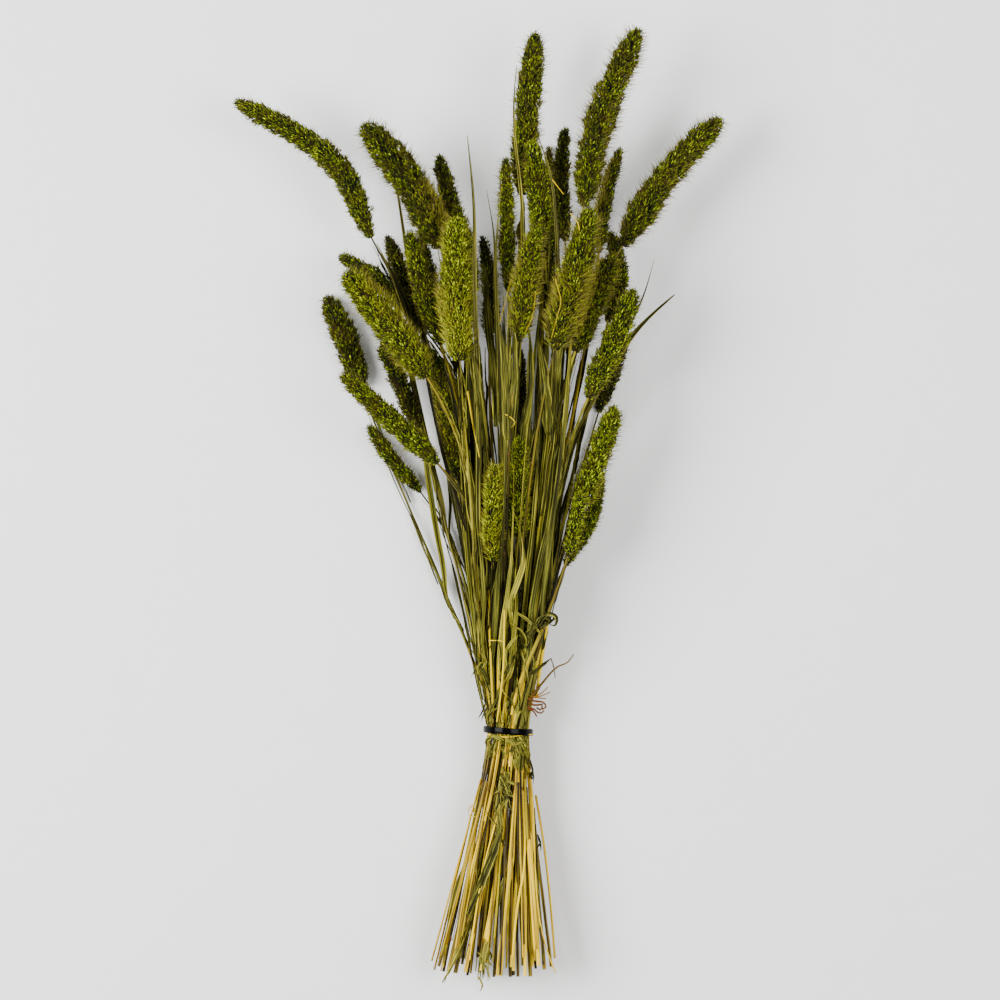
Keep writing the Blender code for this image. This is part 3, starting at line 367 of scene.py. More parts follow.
# Loose straws and fibres on the bunch, each on a line in millimetres: points (x, y), or (x, y,
# lift over the bunch), then its width at both ends, tone, green, how brown, and 1 if it is stiff.
THREADS = [
    ([(2.9, -199.4, -1.5), (-33.5, -333.7)], 1.5, 1.5, 0.55, 0, 0.15, 1),
    ([(7.3, -200.9, -1.5), (-28.1, -337.1)], 2.6, 2.6, 0.45, 0.4, 0, 1),
    ([(43.3, -211.9, -1), (48.5, -242.7), (57.3, -331.6)], 1.8, 1.8, 0.6, 0, 0, 1),
    ([(17.2, -218.1, -1), (5.4, -262.4), (-5.4, -331.6)], 1.2, 1, 0.9, 0, 0, 1),
    ([(21.1, -238.8, -1), (1.4, -333.7)], 1, 1, 0.7, 0, 0, 1),
    ([(33.9, -208.2, -1), (33.4, -272.1), (30.8, -285), (26, -337.1)], 1.8, 1.8, 0.85, 0, 0, 1),
    ([(28, -207.3, -1), (17.2, -341.9)], 1.8, 1.8, 0.6, 0, 0, 1),
    ([(36.9, -219.1, -2), (43.7, -332.2)], 4.2, 4.4, 0.6, 0, 0, 1),
    ([(39.8, -199.4, -1), (55.1, -335.1), (58, -341.9)], 1, 1, 0.7, 0, 0, 1),
    ([(0.4, -227, -1.5), (-15.3, -323.3)], 3, 3, 0.5, 0.4, 0, 1),
    ([(20.2, -74.6, -0.5), (19.1, -119.4), (14.7, -156.9, -0.5)], 1.5, 1.2, 0.9, 0.3, 0, 1),
    ([(21.2, -143, 0), (21.4, -164.5, 1.5), (20.8, -186, 0)], 0.9, 0.7, 0.8, 0.7, 0, 0),
    ([(29.4, -99.5, 0), (20.6, -127.4), (17.6, -128.5, 0)], 1.2, 0.8, 0.7, 0, 0.2, 0),
    ([(24.8, 167.1, 1), (16.9, 136.2, 1.5)], 0.7, 0.5, 0.7, 0.5, 0, 0),
    ([(43.1, 158.3, 1), (39.4, 137, 2), (35.3, 128.9, 1)], 0.7, 0.5, 0.7, 0.6, 0, 0),
    ([(57.3, 167.1, 1), (61, 149.1, 2), (58.8, 140.9, 2), (54.4, 124.5, 1)],
     0.7, 0.4, 0.7, 0.5, 0, 0),
    ([(55.1, 239.8, 1), (63.2, 229.5, 1)], 0.6, 0.4, 0.9, 0, 0, 0),
    ([(68.3, 214.8, 1), (73.8, 207.5, 2), (74.6, 202.4, 1)], 0.6, 0.4, 0.95, 0, 0, 0),
    ([(20.6, 68.7, 1), (24.2, 66.8, 3), (27.9, 62.4, 3), (24.2, 58.8, 1)],
     0.6, 0.4, 0.9, 0.1, 0, 0),
    ([(-6.7, 86, 1), (-2.5, 60, 1), (1.9, 37.5, 0)], 2, 0.8, 0.7, 0.5, 0, 0),
    ([(51.5, -86, -1), (47.5, -112, -1), (43.5, -140, -1)], 2.4, 2.4, 0.85, 0.1, 0, 1),
    ([(8.5, -60, -0.5), (10, -110, -0.5), (12, -150, -0.5)], 1.8, 1.6, 0.75, 0.5, 0, 1),
    ([(38, -141, 0), (48.5, -128.2, 2), (60.2, -116.4, 5), (66, -114, 7), (71.2, -107.6, 8)],
     2.2, 0.8, 0.2, 0.6, 0.2, 0),
    ([(54.4, -110.5, 3), (56.5, -117, 3), (57.7, -125.2, 2)], 0.9, 0.7, 0.2, 0.5, 0.2, 0),
    ([(38, -139.5, -1), (46, -138.5, 2), (53.6, -135.5, 3)], 1.1, 0.8, 0.5, 0, 0.8, 0),
    ([(38, -140, -1), (46, -137, 2), (52.1, -131.8, 3)], 1.1, 0.8, 0.5, 0, 0.8, 0),
    ([(38, -138, -1), (45, -139.6, 2), (50.7, -140, 2)], 1.1, 0.8, 0.5, 0, 0.8, 0),
    ([(37, -140, -1), (43, -142, 1), (49, -143, 2), (51, -146, 3), (48, -148, 3)],
     1.8, 1.2, 0.05, 0, 0.6, 0),
    ([(37, -143, -1), (43, -145, 2), (48, -144.5, 4), (47, -148.5, 3), (44, -147, 2)],
     1.7, 1.2, 0.05, 0, 0.5, 0),
    ([(37, -146, -1), (42, -148, 1), (46.5, -151, 2), (49.5, -149, 3)], 1.6, 1.1, 0.05, 0, 0.6, 0),
    ([(37, -147, -1), (42, -150, 1), (44, -153.5, 1)], 1.4, 1, 0.05, 0, 0.6, 0),
    ([(9.5, -97, 0.3), (18.4, -97.5, 0.8), (20.5, -98.5, 0.3)], 0.7, 0.5, 0.95, 0, 0, 0),
    ([(7.3, -166.4, 0.5), (22, -168.3, 1), (33, -167, 1.5), (41.1, -166.4, 0.5)],
     0.9, 0.6, 0.9, 0, 0, 0),
    ([(-3.5, -219, 1), (-6.6, -222, 1.5), (-5.9, -226, 1.5), (-1.5, -227, 1), (1.7, -223, 0)],
     0.9, 0.5, 0.7, 0.1, 0.2, 0),
]
# Crumpled shreds of leaf on the bunch: points (x, y, lift over the bunch), width, tone, green, how
# far they turn over along the way, and how strongly they are folded.
SCRAPS = [
    ([(14, 60, -1), (13, 95, 0), (9, 130, 0), (6, 178, 0)], 7, 0.45, 0.5, 0.7, 0.3),
    ([(25, 58, -1), (28, 98, 0), (27, 132, 0)], 7, 0.4, 0.5, 0.7, 0.3),
    ([(52, 55, -1), (50, 92, 0), (45, 126, 0)], 7.4, 0.45, 0.4, 0.6, 0.3),
    ([(33, 50, -1), (39, 92, 0), (38, 130, 0)], 6.4, 0.35, 0.5, -0.7, 0.3),
    ([(22, 50, -1), (21, 90, 0), (17, 134, 0)], 6.4, 0.5, 0.4, -0.6, 0.3),
    ([(55, 48, -1), (58, 85, 0), (62, 118, 0)], 6.2, 0.35, 0.4, 0.7, 0.3),
    ([(6, 42, -1), (2, 78, 0), (-3, 116, 0)], 6, 0.4, 0.4, 0.6, 0.3),
    ([(36, -91, 0), (41.1, -88.5, 0.5), (47, -81.9, 1.5), (52.1, -77.5, 3), (58, -79.7, 4),
      (57.3, -85.6, 4), (52.9, -84.8, 5)], 3.4, 0.35, 0.3, 0.5, 0.8),
    ([(33, -95, 0), (39.7, -90, 0.5), (45, -83, 2), (50, -76.8, 3)], 4.4, 0.3, 0.3, 0.6, 0.9),
    ([(37, -122, 0), (43.3, -119.4, 0.5), (49, -115, 2), (54.4, -110.5, 3)],
     2.8, 0.35, 0.5, 0.8, 0.7),
    ([(40, -140.5, 0), (44.8, -133.7, 1), (48.5, -128.2, 2)], 2.4, 0.3, 0.1, 1.2, 0.7),
    ([(9.5, -131, 0), (6.6, -122.3, 0.5), (0.7, -112, 2), (-4.4, -103.2, 3)],
     2.2, 0.3, 0.5, 0.8, 0.8),
    ([(9, -130, 0), (5.1, -123, 0.5), (2, -114.5, 2), (0, -107.6, 3.5)], 2, 0.5, 0.6, -0.8, 0.8),
    ([(9.5, -137, 0), (6, -126, 1), (1.5, -118, 2)], 1.6, 0.2, 0.4, 1, 0.8),
    ([(7, -142, 0), (4.4, -148, 1), (0.7, -155, 2)], 1.8, 0.15, 0.2, 1.4, 0.9),
    ([(8, -146, 0), (5.1, -151, 1), (3.5, -156.8, 1.5)], 1.6, 0.2, 0.1, -1, 0.9),
    ([(6, -173, 0), (10, -168.5, 0.8), (15, -169, 1), (20.5, -172, 0.3)], 4.2, 0.55, 0.4, 1, 1),
    ([(23, -169.5, 0), (28, -173, 1), (33, -172, 1.2), (38.5, -177, 0.3)],
     4, 0.65, 0.3, 1.2, 1),
    ([(30, -168, 0.3), (34.5, -176, 1.2), (36, -185, 0.5)], 3.4, 0.6, 0.8, 0.7, 0.9),
    ([(24, -169, 0.3), (28.5, -177, 1.2), (27.5, -186, 0.5)], 3.2, 0.85, 0, 0.8, 0.9),
    ([(39, -184.7, 0), (40.6, -191, 1), (41.5, -203, 1)], 1.6, 0.2, 0, 0.6, 0.8),
    ([(36, -95, 0), (42, -88, 0.5), (48, -82, 1.5), (54, -77, 3)], 5, 0.25, 0.3, 0.7, 1.1),
    ([(44, -83, 1), (50, -80, 2), (54, -82, 4), (51, -86, 3)], 3.6, 0.15, 0.3, 0.6, 1.1),
    ([(46, -88, 1), (51, -85, 3), (56, -80, 4), (52, -77, 3)], 2.6, 0.3, 0.4, -1.6, 1),
    ([(44.8, -240.6, 0), (46.5, -247, 0.5), (47, -253, 0)], 1.8, 0.2, 0, 1, 0.8),
    ([(17.5, -195, 0.3), (21, -203, 1), (25, -212, 1), (25.7, -215.6, 0.5)],
     3.6, 0.35, 0.2, 0.8, 1),
    ([(16.9, -199, 0.3), (19, -206, 1), (23, -214, 0.8)], 2.2, 0.3, 0.1, -1.2, 1),
    ([(18.1, -236, 0.3), (6, -268, 0.5), (-7.4, -298.6, 0.5)], 6.4, 0.42, 0.3, 0.5, 0.5),
    ([(1.4, -286, 0.3), (-9.5, -317.7, 0.4), (-25.6, -348.4, 0.4)], 3.6, 0.85, 0.1, 0.5, 0.6),
    ([(8.5, -318, 0.2), (5, -332, 0.5), (3.5, -346, 0.5)], 3, 0.75, 0.1, 0.9, 0.8),
    ([(6, -316, 0.4), (2.5, -334, 0.7), (0.5, -347, 0.5)], 2, 0.8, 0, -0.9, 0.8),
    ([(9.5, -322, 0.2), (8, -336, 0.6), (8, -347, 0.5)], 1.6, 0.7, 0.1, 0.9, 0.8),
    ([(29.4, -90, 0), (20.6, -127.4, 1), (17, -131, 0.3)], 3.2, 0.75, 0.1, 0.5, 0.5),
    ([(32.3, -102.5, 0.3), (38.9, -133.3, 0.8)], 1.6, 0.7, 0, 0.8, 0.6),
]
# Tufts of torn sheath: middle x, y, half width, half length, shreds, their mean tone, how green.
TUFTS = [
    (15, -173, 7, 7, 20, 0.6, 0.5), (31, -176, 7, 9, 26, 0.62, 0.7),
    (22, -172, 6, 5, 10, 0.6, 0.3), (22, -203, 5, 11, 18, 0.62, 0.3),
    (5, -117, 5, 13, 12, 0.5, 0.6), (38, -96, 6, 14, 10, 0.5, 0.6), (10, -150, 2, 8, 5, 0.4, 0.4),
    (15, -150, 7, 12, 9, 0.6, 0.5), (31, -150, 7, 12, 11, 0.6, 0.6),
    (5, -334, 4, 10, 12, 0.7, 0.3), (16, -228, 5, 16, 10, 0.5, 0.2), (1, -224, 4, 5, 6, 0.6, 0.2),
    (40, -195, 1, 6, 3, 0.2, 0.1), (45, -247, 1, 3, 3, 0.15, 0), (51, -82, 4, 4, 12, 0.2, 0.4),
    (26, -100, 10, 26, 12, 0.55, 0.6),
]
# Shreds in a tuft: reach, width, spread of the tones, turn and fold. Width along a scrap.
SHRED_REACH = (0.4, 1.2)
SHRED_WIDTH = (0.8, 2.8)
SHRED_SPREAD = 0.17
SHRED_TURN = (-1.5, 1.5)
SHRED_FOLD = (0.4, 1.2)
SCRAP_PROFILE = ([0, 0.15, 0.7, 1], [0.5, 1, 0.9, 0.2])
# Thin straws below the tie: their number, the middle and half width of their row, where they
# start and end along the bunch, how they fan out, and their widths, tones and greens.
THIN_STRAWS = 26
THIN_MIDDLE = 22
THIN_SPREAD = 17
THIN_TOPS = (-235, -188)
THIN_ENDS = (-343, -318)
THIN_END_MIDDLE = 12
THIN_FAN = (2.0, 2.7)
THIN_FAN_Y, THIN_FAN_LENGTH = -185, 155
THIN_WIDTHS = (0.8, 2.1)
THIN_TONES = (0.1, 0.3, 0.75, 0.95)
THIN_GREENS = (0.1, 0.4, 0.7)
# Laid lines: spacing of their points, and how steeply they may fall between two tops.
LAID_STEP = 2.5
STEEPEST = 0.5

# Cable tie: rounding of the buckle and the tail, height of the tail's middle, and its rack.
BUCKLE_CORNER = 0.6
TAIL_CORNER = 0.25
TAIL_Z = 2.6
TAIL_OVERLAP = 1
RACK_START = 0.5
RACK_TEETH = 5
RACK_TOOTH = (0.5, 2.6, 0.4)
RACK_CORNER = 0.08
RACK_Z = 3.35
CORNER_STEPS = 4
BEVEL_STEPS = 3

# Stage, in metres: name, place and size of each softbox, how far the camera sees, and the height
# that it looks at. Its sensor's width is in millimetres.
SOFTBOXES = [("left", (-1.7, 0.25, 1.75), 1.5), ("right", (1.2, 0.15, 2.1), 1.4)]
CAMERA_REACH = 50.0
VIEW_HEIGHT = 0.05
SENSOR_WIDTH = 36.0


# Layout of the strands

def bunch_at(y):
    """Middle x, half width and height of the bunch at y."""
    along = [row[0] for row in BUNCH_SHAPE]
    return [float(np.interp(y, along, [row[k] for row in BUNCH_SHAPE])) for k in (1, 2, 3)]


def height_in_bunch(y, level, radius):
    """Height of a centre line that lies at a level from -1 (on the surface) to 1 (on top)."""
    return radius + (level + 1) / 2 * (bunch_at(y)[2] - 2 * radius)


def smooth_line(points, y):
    """Points (y, x, z) joined by a smooth curve, read at each y; straight past its ends."""
    points = np.array(points, float)
    step = np.diff(points[:, 0])
    slope = np.diff(points[:, 1:], axis=0) / step[:, None]
    tangent = np.vstack([slope[:1], slope])
    before, after = step[:-1, None], step[1:, None]
    tangent[1:-1] = (slope[:-1] * after + slope[1:] * before) / (before + after)
    tangent[-1] = 1.5 * slope[-1] - 0.5 * tangent[-2]
    y = np.asarray(y, float)
    k = np.clip(np.searchsorted(points[:, 0], y) - 1, 0, len(step) - 1)
    t = (y - points[k, 0]) / step[k]
    s = np.clip(t, 0, 1)[:, None]
    h = step[k][:, None]
    line = ((2 * s**3 - 3 * s**2 + 1) * points[k, 1:] + (s**3 - 2 * s**2 + s) * h * tangent[k]
            + (3 * s**2 - 2 * s**3) * points[k + 1, 1:] + (s**3 - s**2) * h * tangent[k + 1])
    line += np.where(t < 0, y - points[0, 0], 0)[:, None] * tangent[0]
    line += np.where(t > 1, y - points[-1, 0], 0)[:, None] * tangent[-1]
    return line


def culm_radius(culm, y):
    """Radius of a culm: swollen by its leaf sheaths at the tie, and thin below its head."""
    along = [CUT_END_Y, TIE_Y - SHEATH_REACH, TIE_Y, TIE_Y + SHEATH_REACH, culm.top]
    low = culm.radius
    return np.interp(y, along, [low, low, TIED_RADIUS, 0.8 * low + 0.2 * TIED_RADIUS,
                                CULM_RADIUS_TOP])


def places_in_tie(spots):
    """Each culm's radius and angle in the tie: rings filled from the outside, in order round."""
    reach = np.hypot(spots[:, 0], spots[:, 1])
    angle = np.arctan2(spots[:, 1], spots[:, 0])
    inward = list(np.argsort(-reach))
    radius = np.zeros(len(spots))
    turn = np.zeros(len(spots))
    ring_radius = TIE_INNER_RADIUS - TIE_ROOM - TIED_RADIUS
    while inward:
        count = max(3, int(TURN * ring_radius / TIE_PITCH))
        ring = sorted(inward[:count], key=lambda n: angle[n])
        inward = inward[count:]
        even = TURN * np.arange(len(ring)) / len(ring)
        start = np.angle(np.exp(1j * (angle[ring] - even)).sum())
        radius[ring] = ring_radius
        turn[ring] = start + even
        ring_radius = max(ring_radius - TIE_PITCH, INNERMOST_RING)
    return radius, turn


def culm_strands():
    """A strand for each culm: through its cut end, its place in the tie, and its head."""
    rng = np.random.default_rng(SEED)
    tops = [(head[0], head[1], head[7], head) for head in SEED_HEADS]
    tops += [(x, y, level, None) for x, y, level in BARE_CULMS]
    spots = np.array([((x - bunch_at(y)[0]) / bunch_at(y)[1], level) for x, y, level, _ in tops])
    strands = []
    for (x, y, level, head), reach, turn in zip(tops, *places_in_tie(spots)):
        cut_y = CUT_END_Y + rng.uniform(-CUT_SCATTER, CUT_SCATTER)
        in_tie = turn + TWIST_ABOVE
        at_cut = in_tie + TWIST_BELOW
        middle, half, _ = bunch_at(cut_y)
        fan = reach / TIE_INNER_RADIUS * rng.uniform(*CUT_FAN)
        low_radius = rng.uniform(*CULM_RADIUS_LOW)
        cut = np.array([middle + half * fan * math.cos(at_cut),
                        height_in_bunch(cut_y, fan * math.sin(at_cut), low_radius)])
        tie = np.array([TIE_X + reach * math.cos(in_tie), TIE_Z + reach * math.sin(in_tie)])
        thick = head[6] if head else 2 * CULM_RADIUS_TOP
        base = np.array([x, height_in_bunch(y, level, thick / 3)])
        below = tie + (cut - tie) * TIE_GRIP / (TIE_Y - cut_y) * TIE_EASE
        above = tie + (base - tie) * TIE_GRIP / (y - TIE_Y) * TIE_EASE
        points = [(cut_y, *cut), (TIE_Y - TIE_GRIP, *below), (TIE_Y, *tie),
                  (TIE_Y + TIE_GRIP, *above), (y, *base)]
        if head:
            mid_x, mid_y, tip_x, tip_y = head[2:6]
            points.append((mid_y, mid_x, height_in_bunch(mid_y, level, thick / 2)))
            points.append((tip_y, tip_x, height_in_bunch(tip_y, level, thick / 4)))
        strands.append(SimpleNamespace(points=points, low=cut_y, high=points[-1][0], top=y,
                                       head=head, level=level, radius=low_radius, culm=None))
    return strands


def leaf_strands(layout):
    """Leaves on the settled culms: those that show by themselves, and those among the stems."""
    rng = np.random.default_rng(SEED + 1)
    culms = layout[0]
    leaves = []

    def on_culm(index, y):
        return strand_line(layout, index, y)[0][0, [0, 2]]

    def add_leaf(index, root_y, points, width, most_turn):
        points = sorted([(root_y, *on_culm(index, root_y)), *points])
        leaves.append(SimpleNamespace(
            points=points, low=points[0][0], high=points[-1][0], root=root_y, top=0, head=None,
            culm=index, width=width, most_turn=most_turn))

    for width, (x, y, level), marks in LONG_LEAVES:
        z = height_in_bunch(y, level, LEAF_CORE)
        reached = [n for n, culm in enumerate(culms) if y < culm.top - 10]
        nearest = min(reached, key=lambda n: math.dist(on_culm(n, y), (x, z)))
        points = [(my, mx, height_in_bunch(my, high, LEAF_CORE)) for mx, my, high in marks]
        add_leaf(nearest, y, points, width, LONG_LEAF_TURN)
    for index, culm in enumerate(culms):
        for _ in range(1 if culm.level < BACK_LEVEL else 2):
            root_y = rng.uniform(LEAF_ROOT_Y[0], min(LEAF_ROOT_Y[1], culm.top - 40))
            tip_y = min(root_y + rng.uniform(*LEAF_LENGTH), LEAF_TOP_Y)
            x, z = root = on_culm(index, root_y)
            meet_y = min(tip_y, culm.top)
            lean = (tip_y - root_y) / (meet_y - root_y)
            tip_x, tip_z = root + (on_culm(index, meet_y) - root) * lean
            middle, half, high = bunch_at(tip_y)
            tip_x = middle + (tip_x - middle) * TIP_DRAWN_IN[0] + rng.uniform(*TIP_ASIDE)
            tip_x = min(max(tip_x, middle - LEAF_SPREAD * half), middle + LEAF_SPREAD * half)
            tip_z = high / 2 + (tip_z - high / 2) * TIP_DRAWN_IN[1] + rng.uniform(*TIP_UP)
            half_way = ((root_y + tip_y) / 2, (x + tip_x) / 2 + rng.uniform(*BOW_ASIDE),
                        (z + tip_z) / 2 + rng.uniform(*BOW_UP))
            add_leaf(index, root_y, [half_way, (tip_y, tip_x, tip_z)],
                     rng.uniform(*LEAF_WIDTH), LEAF_TURN)
    return leaves


def from_root(leaf, y):
    """Distance along the bunch from a leaf's root, whichever way the leaf points."""
    return (y - leaf.root) * (1 if leaf.high > leaf.root else -1)


def strand_radii(strands, rows):
    """Radius of each strand at each row, wider where it slants, and 0 past its ends."""
    radii = np.zeros((len(rows), len(strands)))
    for n, strand in enumerate(strands):
        slope = smooth_line(strand.points, rows + 1) - smooth_line(strand.points, rows)
        wider = np.sqrt(1 + np.minimum((slope**2).sum(1), 2.5))
        radius = culm_radius(strand, rows) if strand.culm is None else LEAF_CORE
        if strand.head:
            t = (rows - strand.top) / (strand.high - strand.top)
            inside = (t > -0.02) & (t < 1.05)
            radius = np.where(inside, strand.head[6] / 2 * np.interp(t, *HEAD_PROFILE), radius)
        outside = (rows < strand.low - 1) | (rows > strand.high + 2)
        radii[:, n] = np.where(outside, 0, radius * wider)
    return radii


def rows_from_stations(row_count, station_count):
    """Matrix that reads values at the rows from values at the stations."""
    spread = np.zeros((row_count, station_count))
    for row in range(row_count):
        before, part = divmod(row, ROWS_A_STATION)
        spread[row, before] += 1 - part / ROWS_A_STATION
        spread[row, min(before + 1, station_count - 1)] += part / ROWS_A_STATION
    return spread


def pair_facts(strands, rows, tied):
    """Every pair of strands, and what pushing them apart has to know about them."""
    first, second = np.triu_indices(len(strands), 1)
    in_head = [[bool(s.head) and s.top - 5 < y < s.high + 5 for s in strands]
               for y in rows]
    clearing = [np.ones(len(rows)) if s.culm is None
                else np.clip(from_root(s, rows) / ROOT_RAMP, 0, 1) for s in strands]
    return SimpleNamespace(
        first=first, second=second, in_head=np.array(in_head), clearing=np.array(clearing).T,
        own_culm=np.array([strands[j].culm == i for i, j in zip(first, second)]),
        tied=np.array([pair in tied for pair in zip(first, second)]),
        gap=np.interp(np.abs(rows - TIE_Y), [TIE_GRIP, 2 * TIE_GRIP], [TIED_GAP, STRAND_GAP]),
        weight=np.array([CULM_WEIGHT if s.culm is None else LEAF_WEIGHT for s in strands]))


def near_contacts(at, rows, radii, facts):
    """Where two strands lie near each other: the row, both strands, the distance that they
    need, how readily they slide aside, and the first one's share of the push."""
    i, j = facts.first, facts.second
    apart = np.hypot(at[:, j, 0] - at[:, i, 0], at[:, j, 1] - at[:, i, 1])
    need = radii[:, i] + radii[:, j] + facts.gap[:, None]
    row, pair = np.nonzero((radii[:, i] > 0) & (radii[:, j] > 0) & (apart < need + NEAR))
    i, j, need = i[pair], j[pair], need[row, pair]
    need = np.where(facts.own_culm[pair], need * facts.clearing[row, j], need)
    pressed = facts.tied[pair] & (np.abs(rows[row] - TIE_Y) < PAIR_REACH)
    need = np.where(pressed, 0, need)
    heads = facts.in_head[row, i] & facts.in_head[row, j]
    slide = np.where(heads, PUSH_HEAD_ASIDE, PUSH_ASIDE)
    share = facts.weight[i] / (facts.weight[i] + facts.weight[j])
    return row, i, j, need, slide, share


def push_apart(at, contacts):
    """How far each strand has to move at each row to clear those that it touches."""
    row, i, j, need, slide, share = contacts
    way = at[row, j] - at[row, i]
    apart = np.hypot(way[:, 0], way[:, 1]) + 1e-6
    depth = np.maximum(need - apart, 0)
    way /= apart[:, None]
    push = np.stack([depth * way[:, 0] * slide, depth * way[:, 1] * PUSH_UP], 1)
    moved = np.zeros(at.shape)
    rows, count, _ = at.shape
    for k in (0, 1):
        gain = np.bincount(row * count + j, push[:, k] * (1 - share), rows * count)
        loss = np.bincount(row * count + i, push[:, k] * share, rows * count)
        moved[:, :, k] = (gain - loss).reshape(rows, count)
    return moved


def press_pairs(line, size_at, stations, tied):
    """Draw each tied pair of culms together near the tie, where they are fused."""
    for s in np.nonzero(np.abs(stations - TIE_Y) < PAIR_REACH)[0]:
        for i, j in tied:
            way = line[s, j] - line[s, i]
            far = math.hypot(*way) + 1e-6
            pull = PAIR_PULL * (far - PRESSED_SHARE * (size_at[s, i] + size_at[s, j])) / far * way
            line[s, i] += pull
            line[s, j] -= pull


def hold_in_tie(line, size_at, stations):
    """Keep every strand inside the tie, and in the funnels just above and below it."""
    middle = np.array([TIE_X, TIE_Z])
    for s in np.nonzero(np.abs(stations - TIE_Y) < FUNNEL_REACH)[0]:
        past = max(abs(stations[s] - TIE_Y) - FUNNEL_START, 0)
        limit = TIE_INNER_RADIUS - TIE_ROOM + FUNNEL_SLOPE * past
        way = line[s] - middle
        far = np.hypot(way[:, 0], way[:, 1])
        out = (size_at[s] > 0) & (far + size_at[s] > limit)
        line[s, out] = middle + way[out] * ((limit - size_at[s, out]) / far[out])[:, None]


def rows_of(stations):
    return np.linspace(stations[0], stations[-1], ROWS_A_STATION * (len(stations) - 1) + 1)


def settle(strands, start, stations, rounds, pairs):
    """Push the strands apart, in height rather than in plan, until they lie clear.

    start and the result are offsets from the strands' own lines, at the stations.
    """
    count = len(strands)
    rows = rows_of(stations)
    target = np.stack([smooth_line(s.points, rows) for s in strands], 1)
    planned = target[::ROWS_A_STATION]
    offset = np.zeros((len(stations), count, 2))
    offset[:, :start.shape[1]] = start
    radii = strand_radii(strands, rows)
    size_at = radii[::ROWS_A_STATION]
    spread = rows_from_stations(len(rows), len(stations))
    gather = (spread / spread.sum(0)).T
    facts = pair_facts(strands, rows, set(pairs))
    stiffness = np.array([CULM_STIFFNESS if s.culm is None else LEAF_STIFFNESS
                          for s in strands])[:, None]
    roots = [(n, s.culm, np.clip(1 - from_root(s, stations) / ROOT_HOLD, 0, 1)[:, None])
             for n, s in enumerate(strands) if s.culm is not None]
    lowest = np.where(size_at > 0, size_at - SURFACE_SINK, -50)
    for turn in range(rounds):
        late = turn > rounds * 0.7
        at = target + np.einsum("rs,snk->rnk", spread, offset)
        if turn % 8 == 0:
            contacts = near_contacts(at, rows, radii, facts)
        offset += PUSH * np.einsum("sr,rnk->snk", gather, push_apart(at, contacts))
        offset *= np.array(LATE_MEMORY if late else EARLY_MEMORY)
        for _ in range(1 if late else 4):
            even = 0.25 * offset[:-2] + 0.5 * offset[1:-1] + 0.25 * offset[2:]
            give = LATE_STIFFNESS if turn > rounds * 0.9 else 1
            offset[1:-1] += (even - offset[1:-1]) * stiffness * give
        line = planned + offset
        for n, culm, hold in roots:
            line[:, n] += (line[:, culm] - line[:, n]) * hold
        press_pairs(line, size_at, stations, pairs)
        hold_in_tie(line, size_at, stations)
        line[:, :, 1] = np.maximum(line[:, :, 1], lowest)
        offset = line - planned
    return offset


def strand_line(layout, index, y):
    """Centre points (x, y, z) of a settled strand at each y, and the unit tangents."""
    strands, offset, stations = layout
    y = np.atleast_1d(np.asarray(y, float))
    track = np.column_stack([stations, offset[:, index]])

    def at(along):
        return smooth_line(strands[index].points, along) + smooth_line(track, along)

    near = at(y)
    slope = (at(y + 1.0) - at(y - 1.0)) / 2
    points = np.column_stack([near[:, 0], y, near[:, 1]])
    tangent = np.column_stack([slope[:, 0], np.ones(len(y)), slope[:, 1]])
    return points, tangent / np.linalg.norm(tangent, axis=1)[:, None]


def settled(layout, rows):
    """Plan x and height of every strand at each row."""
    lines = [strand_line(layout, n, rows)[0] for n in range(len(layout[0]))]
    return np.stack([points[:, [0, 2]] for points in lines], 1)


def lay_out():
    """All strands, their settled offsets and the stations along the bunch."""
    low = TIE_Y - STATION_STEP * math.ceil((TIE_Y - CUT_END_Y + 14) / STATION_STEP)
    stations = np.arange(low, BUNCH_TOP_Y + STATION_STEP, STATION_STEP)
    culms = culm_strands()
    offset = settle(culms, np.zeros((len(stations), 0, 2)), stations, CULM_ROUNDS, ())
    offset = settle(culms, offset, stations, PAIR_ROUNDS, TIED_PAIRS)
    strands = culms + leaf_strands((culms, offset, stations))
    return strands, settle(strands, offset, stations, LEAF_ROUNDS, TIED_PAIRS), stations


def side_and_up(tangent):
    """Unit vectors across a strand: to the side, along the surface, and up from it."""
    side = np.cross(tangent, [0.0, 0.0, 1.0])
    side /= np.linalg.norm(side, axis=1)[:, None]
    return side, np.cross(side, tangent)


